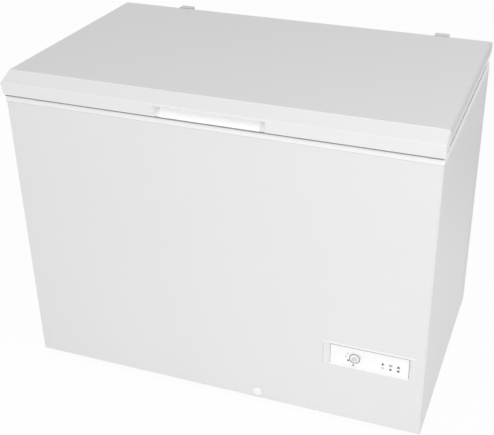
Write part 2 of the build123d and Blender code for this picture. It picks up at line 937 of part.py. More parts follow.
def control_housing():
    """Closed box behind the panel, in the front of the machine space."""
    y0 = front + bezel_depth
    x0, x1 = panel_x[0] + panel_cut + 1, panel_x[1] - panel_cut - 1
    z0, z1 = panel_z[0] + panel_cut + 1, panel_z[1] - panel_cut - 1
    box = block(x0, x1, y0, y0 + housing_depth, z0, z1)
    w = housing_wall
    return box - block(x0 + w, x1 - w, y0 - 1, y0 + housing_depth - w, z0 + w, z1 - w)


def thermostat():
    """Thermostat body on the plate's back, with the spindle's bearing."""
    y = front + panel_recess + plate_thickness
    body = block(knob_x - 18, knob_x + 18, y, y + 26, knob_z - 16, knob_z + 16)
    return body - rod("y", spindle_radius + spindle_clearance, knob_x, y - 1, knob_z, spindle_length)


def thermostat_knob():
    """Round dial with a centre boss and its spindle."""
    y = front + panel_recess - touch_gap
    face = y - knob_disc
    seat = Plane(origin=(knob_x, y, knob_z), z_dir=(0, 1, 0))
    knob = extrude(seat * RegularPolygon(knob_radius, 40), amount=-knob_disc)
    knob = chamfer(knob.faces().sort_by(Axis.Y)[0].edges(), knob_bevel)
    knob += extrude(seat * RegularPolygon(knob_boss_radius, 16), amount=-knob_disc - knob_boss)
    slot = knob_boss_radius - 2
    knob -= block(
        knob_x - slot,
        knob_x + slot,
        face - knob_boss - 1,
        face - knob_boss + 1.5,
        knob_z - 1.2,
        knob_z + 1.2,
    )
    reach = plate_thickness + touch_gap + spindle_length - 2
    return knob + rod("y", spindle_radius, knob_x, y, knob_z, reach)


def indicator_lamps():
    """Three light pipes that stand just proud of the plate."""
    return lamp_pins(lamp_radius, front + panel_recess - lamp_proud, plate_thickness + lamp_proud)


def control_board():
    """Circuit board with the lamp carriers, on the plate's back."""
    y = front + panel_recess + plate_thickness
    x0, x1 = lamp_x[0] - board_side, lamp_x[-1] + board_side
    face = y + board_behind
    board = block(x0, x1, face, face + board_thickness, lamp_z - board_below, lamp_z + board_above)
    for x in lamp_x:
        board += block(x - 4, x + 4, y, face, lamp_z - 4, lamp_z + 4)
    return board


# ---------------------------------------------------------------- lid


def ridge_tip():
    """Sharp corner of the ridge that its rounding brings back to the ridge's reach."""
    back_way = (Vector(0, slope_y, slope_z) - Vector(0, ridge_y, ridge_z)).normalized()
    down_way = (Vector(0, lip_y, lip_z) - Vector(0, ridge_y, ridge_z)).normalized()
    middle = (back_way + down_way).normalized()
    half_angle = math.radians(back_way.get_angle(down_way)) / 2
    return ridge_y - ridge_round * (middle.Y / math.sin(half_angle) - 1)


def fascia_outline(inset):
    """(y, z) outline of the lid's front moulding, moved inwards by the inset."""
    k = inset
    rear = slope_y + (1 if k else 0)
    return [
        (rear, slope_z - k),
        (ridge_tip() + 1.36 * k, ridge_z - 0.55 * k),
        (lip_y + 1.1 * k, lip_z + k),
        (lip_y + lip_depth - k, lip_z + k),
        (front + lip_depth - lip_reach + 4 - k, lid_low + k),
        (rear, lid_low + k),
    ]


def recess_body(grow):
    """Wedge-shaped handle recess: shallow at the lip and deepest under the ridge."""
    roof = ridge_z - recess_top_drop + grow
    deep = ridge_y + recess_depth + grow
    shallow = lip_y + recess_lip + grow
    low = lip_z - (0 if grow else 2)
    ahead = ridge_y - 5
    inner, outer = grip_half + grow, recess_half + grow
    wedge = along_x([(ahead, roof), (deep, roof), (shallow, low), (ahead, low)], -outer, outer)
    plan = [
        (-outer, ahead), (-outer, ridge_y), (-inner, deep), (inner, deep), (outer, ridge_y), (outer, ahead),
    ]
    return wedge & along_z(plan, lip_z - 5, ridge_z)


def lid_front_fascia():
    """Moulded front of the lid: slope, ridge, face and handle recess."""
    shape = along_x(fascia_outline(0), -lid_x, lid_x)
    room = along_x(fascia_outline(fascia_wall), -lid_x + fascia_wall, lid_x - fascia_wall)
    middles = [(e, e.center()) for e in shape.edges()]
    ends = [e for e, m in middles if lid_x - abs(m.X) < 0.01 and m.Z > ridge_z + 1 and m.Y < slope_y - 1]
    shape = fillet(ends, end_round)
    ridge = [e for e in shape.edges().filter_by(Axis.X) if abs(e.center().Y - ridge_tip()) < 0.01]
    shape = fillet(ridge, ridge_round)
    shape -= room
    cup = recess_body(recess_wall) & along_x(fascia_outline(0), -lid_x, lid_x)
    return (shape + cup + fascia_tongue()) - recess_body(0)


def fascia_tongue():
    """Strip along the top of the fascia that lies under the edge of the lid sheet."""
    side = lid_x - side_fold - 1
    low = slope_z - fascia_wall
    return block(-side, side, slope_y, slope_y + tongue_depth, low, lid_top - lid_sheet)


def handle_grip():
    """Separate slanted plate lining the back of the handle recess."""
    roof = ridge_z - recess_top_drop
    deep = ridge_y + recess_depth
    shallow = lip_y + recess_lip
    t = grip_thickness * 1.25
    low = lip_z + 1
    y_low = shallow + (deep - shallow) * (low - lip_z) / (roof - lip_z)
    outline = [(y_low, low), (deep, roof), (deep - t, roof), (y_low - t, low)]
    return along_x(outline, -grip_half + 1, grip_half - 1)


def lid_top_panel():
    """Painted lid sheet, folded down at the sides and back."""
    low = lid_top - skirt_height
    return lid_slab(0, low, lid_top, fillet, 0) - lid_room(low - 1, lid_top - lid_sheet)


def lid_slab(inset, z0, z1, ease, relief):
    """Lid-shaped slab with its upper side and rear edges eased, and its rear corners."""
    x, y = lid_x - inset, back - inset
    slab = block(-x, x, slope_y, y, z0, z1)
    upper = slab.faces().sort_by(Axis.Z)[-1].edges()
    over_sides = ease(upper.filter_by(Axis.Y), side_fold - inset + relief)
    over_rear = ease([upper.filter_by(Axis.X).sort_by(Axis.Y)[-1]], rear_fold - inset + relief)
    corners = slab.edges().filter_by(Axis.Z).sort_by(Axis.Y)[-2:]
    return over_sides & over_rear & ease(corners, lid_corner - inset + relief)


def lid_room(z0, z1):
    """What the folded lid sheet leaves free inside, bevelled where the sheet bends."""
    return lid_slab(lid_sheet, z0, z1, chamfer, fold_relief)


def lid_frame():
    """Plastic frame under the sheet along both sides and the back."""
    x = lid_x - trim_inset
    y = back - trim_inset
    upper = lid_top - skirt_height
    frame = block(-x, x, slope_y, y, lid_low + trim_band, upper)
    frame += block(-x + trim_step, x - trim_step, slope_y, y - trim_step, lid_low, lid_low + trim_band)
    inner = trim_step + trim_wall
    frame -= block(-x + inner, x - inner, slope_y - 1, y - inner, lid_low + trim_wall, upper + 1)
    return frame - block(
        -half + trim_flange, half - trim_flange, slope_y - 1, back - trim_flange, lid_low - 1, upper
    )


def dome(inset, depth):
    """Raised panel of the lid liner, drafted on all sides."""
    x = tub_x - dome_margin - inset
    y0, y1 = tub_front + dome_margin + inset, tub_back - dome_margin - inset
    middle = (y0 + y1) / 2
    base = Pos(0, middle, lid_low) * RectangleRounded(2 * x, y1 - y0, dome_corner - inset)
    return extrude(base, amount=-depth, taper=dome_draft)


def lid_inner_liner():
    """Formed liner under the lid, with a panel that reaches into the mouth."""
    x = half - trim_flange + lid_liner_overlap - 3
    y0, y1 = front + trim_flange - lid_liner_overlap + 3, back - trim_flange + lid_liner_overlap - 3
    plate = block(-x, x, y0, y1, lid_low - lid_liner, lid_low)
    plate += dome(0, dome_depth)
    return plate - dome(lid_liner, dome_depth - lid_liner)


def lid_foam():
    """Insulation inside the lid."""
    upper = lid_top - skirt_height
    slab = lid_room(upper, lid_top - lid_sheet) - fascia_tongue()
    inner = trim_inset + trim_step + trim_wall
    slab += block(-lid_x + inner, lid_x - inner, slope_y, back - inner, lid_low + trim_wall, upper)
    slab += block(
        -half + trim_flange, half - trim_flange, slope_y, back - trim_flange, lid_low, lid_low + trim_wall
    )
    nose = along_x(fascia_outline(fascia_wall), -lid_x + fascia_wall, lid_x - fascia_wall)
    nose -= block(-lid_x, lid_x, slope_y, slope_y + 5, lid_low, lid_top)
    nose -= recess_body(recess_wall)
    return slab + nose + dome(lid_liner, dome_depth - lid_liner)


def lid_gasket():
    """Magnetic seal between the rim and the lid: a soft pad on a narrower root."""
    low, high = rim_top + touch_gap, lid_low
    middle = low + gasket_pad
    return seal_ring(0, low, middle) + seal_ring(gasket_root, middle, high)


def seal_ring(inset, z0, z1):
    """A square ring on the seal's line, cut off at its corners."""
    x = half - gasket_inset - inset
    y0, y1 = front + gasket_inset + 5 + inset, back - gasket_inset - inset
    w = gasket_width - 2 * inset
    ring = along_z(cut_corners(-x, x, y0, y1, gasket_inset - inset), z0, z1)
    return ring - block(-x + w, x - w, y0 + w, y1 - w, z0 - 1, z1 + 1)


def lid_lamp_place():
    return tub_front + lid_lamp_behind, lid_low - dome_depth


def lid_lamp_base():
    """Back plate of the lamp under the lid."""
    y, z = lid_lamp_place()
    w, d, h = lamp_base
    return block(-w / 2, w / 2, y - d / 2, y + d / 2, z - h, z)


def lid_lamp_lens():
    """Frosted lens with bevelled edges."""
    y, z = lid_lamp_place()
    w, d, h = lens
    top = z - lamp_base[2]
    shape = block(-w / 2, w / 2, y - d / 2, y + d / 2, top - h, top)
    return chamfer(shape.faces().sort_by(Axis.Z)[0].edges(), h / 2)


# ---------------------------------------------------------------- hinges


def round_end(centre_y, centre_z, radius, first, last, steps):
    """Points on an arc about the pivot; 0 degrees is to the rear and 90 is up."""
    turns = [math.radians(first + (last - first) * i / steps) for i in range(steps + 1)]
    return [(centre_y + radius * math.cos(a), centre_z + radius * math.sin(a)) for a in turns]


def hinge_bracket(cx):
    """Lower half of the hinge: a channel on the back panel with two ears."""
    w = bracket_width / 2
    t = bracket_steel
    top = pivot_z - bracket_drop
    bottom = top - bracket_length
    rear = back + hinge_reach
    ear = [(back, bottom), (back, pivot_z)] + round_end(pivot_y, pivot_z, ear_radius, 160, 0, 7)
    ear += [(pivot_y + ear_radius, pivot_z - 4), (rear, top), (rear, bottom)]
    body = along_x(ear, cx - w, cx - w + t) + along_x(ear, cx + w - t, cx + w)
    body += block(cx - w, cx + w, rear - t, rear, bottom, top)
    body += block(cx - w, cx + w, back, rear, bottom, bottom + t)
    body += block(cx - w - bracket_foot, cx - w + t, back, back + t, bottom, top)
    body += block(cx + w - t, cx + w + bracket_foot, back, back + t, bottom, top)
    body -= block(
        cx - rod_radius - touch_gap, cx + rod_radius + touch_gap,
        pivot_y - rod_radius - touch_gap, pivot_y + rod_radius + touch_gap, bottom - 1, bottom + t + 1,
    )
    return body - rod("x", pin_radius + pin_clearance, cx - w - 1, pivot_y, pivot_z, bracket_width + 2)


def cam_radius_at(angle):
    """Distance from the pivot to the roller's centre, falling evenly as the lid opens."""
    closed = cam_closed + roller_gap + roller_radius
    opened = cam_open + roller_gap + roller_radius
    return closed + (opened - closed) * angle / lid_travel


def cam_outline():
    """Spiral under the pivot that meets the roller along the whole travel."""
    points = []
    for angle in range(-10, int(lid_travel) + 11, 10):
        a = math.radians(angle)
        r = cam_radius_at(angle) - roller_radius - roller_gap
        points.append((pivot_y + r * math.sin(a), pivot_z - r * math.cos(a)))
    return points


def hinge_leaf(cx):
    """Upper half of the hinge: a channel on the lid's back edge, with ears and the cam."""
    w = bracket_width / 2 - bracket_steel - leaf_clearance
    t = bracket_steel
    low = pivot_z + leaf_lift
    high = low + leaf_height
    ear = ear_radius - 1
    rear = pivot_y + ear
    side = [(back, low), (back, high), (back + 6, high), (rear, low + 6)]
    side += round_end(pivot_y, pivot_z, ear, 0, -160, 7)
    leaf = along_x(side, cx - w, cx - w + t) + along_x(side, cx + w - t, cx + w)
    leaf += block(cx - w, cx + w, back, back + t, low, high)
    arm = cam_outline() + [(rear - 2, low), (back, low), (pivot_y - ear / 2, pivot_z)]
    leaf += along_x(arm, cx - cam_width / 2, cx + cam_width / 2)
    knuckle = Plane(origin=(cx - w, pivot_y, pivot_z), z_dir=(1, 0, 0)) * RegularPolygon(knuckle_radius, 12)
    leaf += extrude(knuckle, amount=2 * w)
    return leaf - rod("x", pin_radius + pin_clearance, cx - w - 1, pivot_y, pivot_z, 2 * w + 2)


def hinge_pins():
    """Pivot pins, held in the brackets' ears."""
    length = bracket_width + 3
    return [rod("x", pin_radius, cx - length / 2, pivot_y, pivot_z, length) for cx in hinge_centres.values()]


def plunger_top():
    return pivot_z - cam_radius_at(0)


def hinge_plungers():
    """Spring plungers: roller nose, collar and guide rod."""
    group = []
    w = cam_width / 2
    bottom = pivot_z - bracket_drop - bracket_length
    nose = plunger_top()
    collar = nose - nose_height - collar_height
    for cx in hinge_centres.values():
        p = rod("x", roller_radius, cx - w, pivot_y, nose, 2 * w)
        rear, ahead = pivot_y + roller_radius, pivot_y - roller_radius
        p += block(cx - w, cx + w, ahead, rear, nose - nose_height, nose)
        seat = Plane(origin=(cx, pivot_y, collar))
        p += extrude(seat * RegularPolygon(collar_radius, 8), amount=collar_height)
        p += extrude(seat * Rectangle(1.4 * rod_radius, 1.4 * rod_radius), amount=bottom - rod_end - collar)
        group.append(p)
    return group


def hinge_springs():
    """Compression springs round the plungers' rods, as squared wire."""
    bottom = pivot_z - bracket_drop - bracket_length + bracket_steel
    top = plunger_top() - nose_height - collar_height
    low, high = bottom + spring_wire / 2 + 0.2, top - spring_wire / 2 - 0.2
    sides = 6
    count = spring_turns * sides
    group = []
    for cx in hinge_centres.values():
        points = []
        for i in range(count + 1):
            a = 2 * math.pi * i / sides
            z = low + (high - low) * i / count
            points.append((cx + spring_radius * math.cos(a), pivot_y + spring_radius * math.sin(a), z))
        path = Polyline(*points)
        start = Plane(origin=path @ 0, z_dir=path % 0, x_dir=(1, 0, 0))
        section = start * Rectangle(spring_wire, spring_wire)
        group.append(sweep(section, path=path, transition=Transition.RIGHT))
    return group


def hinge_cover(cx):
    """Tapered plastic hood over the hinge's upper half, behind the lid."""

    def hood(inset, low, top):
        a = cover_base / 2 - inset
        b = cover_rear / 2 - inset
        rear = back + cover_reach - inset
        return along_z([(cx - a, back), (cx + a, back), (cx + b, rear), (cx - b, rear)], low, top)

    low = pivot_z + cover_lift
    top = lid_top - cover_drop
    return hood(0, low, top) - hood(cover_wall, low - 1, top - cover_wall)


# ---------------------------------------------------------------- basket


def wire(a, b, radius):
    """Straight hexagonal wire between two points."""
    line = Line(a, b)
    start = Plane(origin=a, z_dir=line % 0)
    return extrude(start * RegularPolygon(radius, 6), amount=line.length)


def spaced(low, high, pitch):
    """Evenly spaced places between two ends, about a pitch apart."""
    count = max(round((high - low) / pitch), 1)
    return [low + (high - low) * i / count for i in range(count + 1)]


def basket_box():
    x0 = -tub_x + basket_inset
    y0, y1 = tub_front + basket_gap, tub_back - basket_gap
    top = rim_top - hoop_under_rim
    return x0, x0 + basket_length, y0, y1, top - basket_depth, top


def basket_hoop():
    """Heavy top wire of the basket, in one piece with cut-off corners."""
    x0, x1, y0, y1, _, top = basket_box()
    r = hoop_wire
    outer = cut_corners(x0 - r, x1 + r, y0 - r, y1 + r, hoop_corner)
    inner = cut_corners(x0 + r, x1 - r, y0 + r, y1 - r, hoop_corner - r)
    return along_z(outer, top - 2 * r, top) - along_z(inner, top - 3 * r, top + 1)


def basket_hangers():
    """Two bent wires that hook over the ledge at the front and the back."""
    x0, x1, y0, y1, _, top = basket_box()
    r = hoop_wire
    middle = (x0 + x1) / 2
    level = rim_top - ledge_drop + touch_gap + r
    group = []
    for inside, ledge in ((y0, tub_front - ledge_width / 2), (y1, tub_back + ledge_width / 2)):
        a, b = middle - hanger_half, middle + hanger_half
        points = [
            (a, inside, top), (a, inside, level), (a, ledge, level),
            (b, ledge, level), (b, inside, level), (b, inside, top),
        ]
        path = Polyline(*points)
        start = Plane(origin=points[0], z_dir=(0, 0, 1))
        group.append(sweep(start * RegularPolygon(r, 6), path=path, transition=Transition.RIGHT))
    return group


def basket_side_wires():
    """Upright wires of all four walls, under the hoop."""
    x0, x1, y0, y1, bottom, top = basket_box()
    high = top - 2 * hoop_wire
    r = grid_wire
    places = [(x, y) for x in spaced(x0 + 20, x1 - 20, grid_pitch) for y in (y0, y1)]
    places += [(x, y) for y in spaced(y0 + 20, y1 - 20, grid_pitch) for x in (x0, x1)]
    return [wire((x, y, bottom), (x, y, high), r) for x, y in places]


def basket_floor_wires():
    """Floor wires: short ones under, long ones over."""
    x0, x1, y0, y1, bottom, _ = basket_box()
    r = grid_wire
    end = r + 0.1
    group = []
    for y in spaced(y0 + 20, y1 - 20, grid_pitch):
        group.append(wire((x0 + end, y, bottom + r), (x1 - end, y, bottom + r), r))
    for x in spaced(x0 + 20, x1 - 20, grid_pitch):
        group.append(wire((x, y0 + end, bottom + 3 * r), (x, y1 - end, bottom + 3 * r), r))
    return group


def build_all():
    """Every node by name."""
    nodes = {
        "outer_wrapper": outer_wrapper(),
        "back_panel": back_panel(),
        "base_tray": base_tray(),
        "inner_liner": inner_liner(),
        "top_rim": top_rim(),
        "cabinet_foam": cabinet_foam(),
        "evaporator_coil": evaporator_coil(),
        "condenser_coil": condenser_coil(),
        "drain_tube": drain_tube(),
        "drain_cap": drain_cap(),
        "drain_plug": drain_plug(),
        "feet": feet(),
        "machine_box": machine_box(),
        "machine_floor": machine_floor(),
        "compressor_base": compressor_base(),
        "compressor_grommets": compressor_grommets(),
        "compressor_nuts": compressor_nuts(),
        "compressor_lower_shell": compressor_lower(),
        "compressor_upper_shell": compressor_upper(),
        "relay_box": relay_box(),
        "suction_pipe": suction_pipe(),
        "discharge_pipe": discharge_pipe(),
        "filter_drier": filter_drier(),
        "condenser_outlet": condenser_outlet(),
        "capillary_tube": capillary_tube(),
        "rear_grille": rear_grille(),
        "cord_gland": cord_gland(),
        "control_bezel": control_bezel(),
        "control_plate": control_plate(),
        "control_housing": control_housing(),
        "thermostat": thermostat(),
        "thermostat_knob": thermostat_knob(),
        "indicator_lamps": indicator_lamps(),
        "control_board": control_board(),
        "lid_front_fascia": lid_front_fascia(),
        "handle_grip": handle_grip(),
        "lid_top_panel": lid_top_panel(),
        "lid_frame": lid_frame(),
        "lid_inner_liner": lid_inner_liner(),
        "lid_foam": lid_foam(),
        "lid_gasket": lid_gasket(),
        "lid_lamp_base": lid_lamp_base(),
        "lid_lamp_lens": lid_lamp_lens(),
        "hinge_pins": hinge_pins(),
        "hinge_plungers": hinge_plungers(),
        "hinge_springs": hinge_springs(),
        "basket_hoop": basket_hoop(),
        "basket_hangers": basket_hangers(),
        "basket_side_wires": basket_side_wires(),
        "basket_floor_wires": basket_floor_wires(),
    }
    for side, cx in hinge_centres.items():
        nodes["hinge_bracket_" + side] = hinge_bracket(cx)
        nodes["hinge_leaf_" + side] = hinge_leaf(cx)
        nodes["hinge_cover_" + side] = hinge_cover(cx)
    return nodes


os.makedirs("parts", exist_ok=True)
for name, shape in build_all().items():
    solids = []
    for piece in shape if isinstance(shape, list) else [shape]:
        solids += piece.solids()
    node = Compound(children=solids) if len(solids) > 1 else solids[0]
    export_step(node, "parts/" + name + ".step")
    print(name, len(solids))
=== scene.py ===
import bpy, bmesh, json, math
from mathutils import Matrix, Vector


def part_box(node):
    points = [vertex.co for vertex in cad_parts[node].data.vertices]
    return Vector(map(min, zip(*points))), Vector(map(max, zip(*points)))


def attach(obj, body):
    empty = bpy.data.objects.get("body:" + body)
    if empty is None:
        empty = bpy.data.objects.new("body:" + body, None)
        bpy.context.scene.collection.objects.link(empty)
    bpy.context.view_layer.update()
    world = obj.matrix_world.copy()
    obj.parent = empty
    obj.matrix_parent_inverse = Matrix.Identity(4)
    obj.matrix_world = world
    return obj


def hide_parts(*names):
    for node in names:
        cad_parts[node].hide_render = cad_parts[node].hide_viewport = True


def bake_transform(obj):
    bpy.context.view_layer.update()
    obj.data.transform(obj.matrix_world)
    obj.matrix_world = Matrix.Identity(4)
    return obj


# Chest freezer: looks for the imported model. Metres, Z up, the front faces -Y.

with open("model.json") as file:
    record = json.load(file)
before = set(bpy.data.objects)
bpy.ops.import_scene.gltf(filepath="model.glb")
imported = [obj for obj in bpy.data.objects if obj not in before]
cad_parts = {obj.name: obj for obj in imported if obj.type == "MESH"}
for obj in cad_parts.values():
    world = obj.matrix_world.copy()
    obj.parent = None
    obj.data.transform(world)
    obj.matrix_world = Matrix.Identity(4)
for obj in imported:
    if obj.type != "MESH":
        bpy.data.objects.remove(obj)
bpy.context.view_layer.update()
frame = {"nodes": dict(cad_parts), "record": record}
nodes = frame["nodes"]
bodyOf = {n: b for b, members in frame["record"]["behaviour"]["bodies"].items() for n in members}
scene = bpy.context.scene
scene.view_settings.view_transform = "Standard"


viewSetup = {
    "place": (0.8711, -2.2695, 1.7758),
    "azimuth": 18.774,
    "elevation": 28.639,
    "roll": 0.308,
    "lens": 66.88,
    "sensor": 36,
    "shift": (-0.0933, -0.0285),
    "far": 60,
}


def makeCamera(setup):
    a, e = math.radians(setup["azimuth"]), math.radians(setup["elevation"])
    back = Vector((math.sin(a) * math.cos(e), -math.cos(a) * math.cos(e), math.sin(e)))
    right = (-back).cross(Vector((0, 0, 1))).normalized()
    up = right.cross(-back)
    c, s = math.cos(math.radians(setup["roll"])), math.sin(math.radians(setup["roll"]))
    turn = Matrix((c * right + s * up, -s * right + c * up, back)).transposed()
    data = bpy.data.cameras.new("viewCamera")
    data.lens = setup["lens"]
    data.sensor_width = setup["sensor"]
    data.shift_x, data.shift_y = setup["shift"]
    data.clip_end = setup["far"]
    camera = bpy.data.objects.new("viewCamera", data)
    camera.matrix_world = Matrix.Translation(setup["place"]) @ turn.to_4x4()
    scene.collection.objects.link(camera)
    scene.camera = camera


makeCamera(viewSetup)
print("camera ready")


def addNode(tree, kind, **values):
    node = tree.nodes.new(kind)
    for key, value in values.items():
        setattr(node, key, value)
    return node


# a maths node fed by sockets or plain numbers, and its result
def mathNode(tree, operation, *values):
    node = addNode(tree, "ShaderNodeMath", operation=operation)
    for i, value in enumerate(values):
        if isinstance(value, bpy.types.NodeSocket):
            tree.links.new(value, node.inputs[i])
        else:
            node.inputs[i].default_value = value
    return node.outputs[0]


def newGroup(name, treeKind, inputs, outputs):
    tree = bpy.data.node_groups.new(name, treeKind)
    for label, kind, value in inputs:
        socket = tree.interface.new_socket(label, in_out="INPUT", socket_type="NodeSocket" + kind)
        if value is not None:
            socket.default_value = value
    for label, kind in outputs:
        tree.interface.new_socket(label, in_out="OUTPUT", socket_type="NodeSocket" + kind)
    return tree, tree.nodes.new("NodeGroupInput"), tree.nodes.new("NodeGroupOutput")


def noiseAt(tree, scaleSocket, detail=3.0, rough=0.55):
    place = addNode(tree, "ShaderNodeTexCoord")
    noise = addNode(tree, "ShaderNodeTexNoise")
    noise.inputs["Detail"].default_value = detail
    noise.inputs["Roughness"].default_value = rough
    tree.links.new(place.outputs["Object"], noise.inputs["Vector"])
    if scaleSocket is not None:
        tree.links.new(scaleSocket, noise.inputs["Scale"])
    return noise


# slow cloudy change of tone and gloss, as on any large painted or moulded face
def makeToneGroup():
    tree, given, out = newGroup(
        "toneDrift", "ShaderNodeTree",
        [("Colour", "Color", (0.8, 0.8, 0.8, 1)), ("Amount", "Float", 0.03), ("Cloud Scale", "Float", 3.0),
         ("Roughness", "Float", 0.35), ("Gloss Drift", "Float", 0.06)],
        [("Colour", "Color"), ("Roughness", "Float")],
    )
    link = tree.links.new
    cloud = noiseAt(tree, given.outputs["Cloud Scale"])
    centred = mathNode(tree, "SUBTRACT", cloud.outputs["Fac"], 0.5)
    tone = mathNode(tree, "MULTIPLY_ADD", centred, given.outputs["Amount"], 1.0)
    scaled = addNode(tree, "ShaderNodeVectorMath", operation="SCALE")
    link(given.outputs["Colour"], scaled.inputs[0])
    link(tone, scaled.inputs["Scale"])
    gloss = mathNode(tree, "MULTIPLY_ADD", centred, given.outputs["Gloss Drift"], given.outputs["Roughness"])
    link(scaled.outputs[0], out.inputs["Colour"])
    link(gloss, out.inputs["Roughness"])
    return tree


# fine surface texture: orange peel in paint, grain in moulded plastic
def makeGrainGroup():
    tree, given, out = newGroup(
        "fineGrain", "ShaderNodeTree",
        [("Grain Scale", "Float", 300.0), ("Wave Scale", "Float", 12.0), ("Wave Share", "Float", 0.5)],
        [("Height", "Float")],
    )
    link = tree.links.new
    fine = noiseAt(tree, given.outputs["Grain Scale"], detail=2.0)
    wave = noiseAt(tree, given.outputs["Wave Scale"], detail=1.0)
    mix = addNode(tree, "ShaderNodeMix", data_type="FLOAT")
    link(given.outputs["Wave Share"], mix.inputs["Factor"])
    link(fine.outputs["Fac"], mix.inputs["A"])
    link(wave.outputs["Fac"], mix.inputs["B"])
    link(mix.outputs["Result"], out.inputs["Height"])
    return tree


toneDrift = makeToneGroup()
fineGrain = makeGrainGroup()


def placeGroup(tree, group, values):
    node = addNode(tree, "ShaderNodeGroup", node_tree=group)
    for label, value in values.items():
        node.inputs[label].default_value = value
    return node


def makeMaterial(name, look):
    material = bpy.data.materials.new(name)
    material.use_nodes = True
    tree = material.node_tree
    link = tree.links.new
    shader = tree.nodes["Principled BSDF"]
    for label, key in (("Metallic", "metal"), ("Coat Weight", "coat"), ("Coat Roughness", "coatRough"),
                       ("Specular IOR Level", "specular")):
        shader.inputs[label].default_value = look[key]
    tone = placeGroup(tree, toneDrift, {
        "Colour": look["colour"] + (1,), "Amount": look["drift"], "Cloud Scale": look["cloud"],
        "Roughness": look["rough"], "Gloss Drift": look["glossDrift"]})
    grain = placeGroup(tree, fineGrain, {
        "Grain Scale": look["grain"], "Wave Scale": look["wave"], "Wave Share": look["waveShare"]})
    bump = addNode(tree, "ShaderNodeBump")
    bump.inputs["Strength"].default_value = look["bump"]
    bump.inputs["Distance"].default_value = look["depth"]
    link(tone.outputs["Colour"], shader.inputs["Base Color"])
    link(tone.outputs["Roughness"], shader.inputs["Roughness"])
    link(grain.outputs["Height"], bump.inputs["Height"])
    link(bump.outputs["Normal"], shader.inputs["Normal"])
    return material


def grey(level):
    return (level, level, level)


# what a finish has unless it says otherwise
plainLook = {
    "metal": 0.0, "specular": 0.5, "coat": 0.0, "coatRough": 0.1, "drift": 0.03, "cloud": 3.0,
    "glossDrift": 0.06, "grain": 400.0, "wave": 14.0, "waveShare": 0.5, "bump": 0.1, "depth": 0.0004,
}
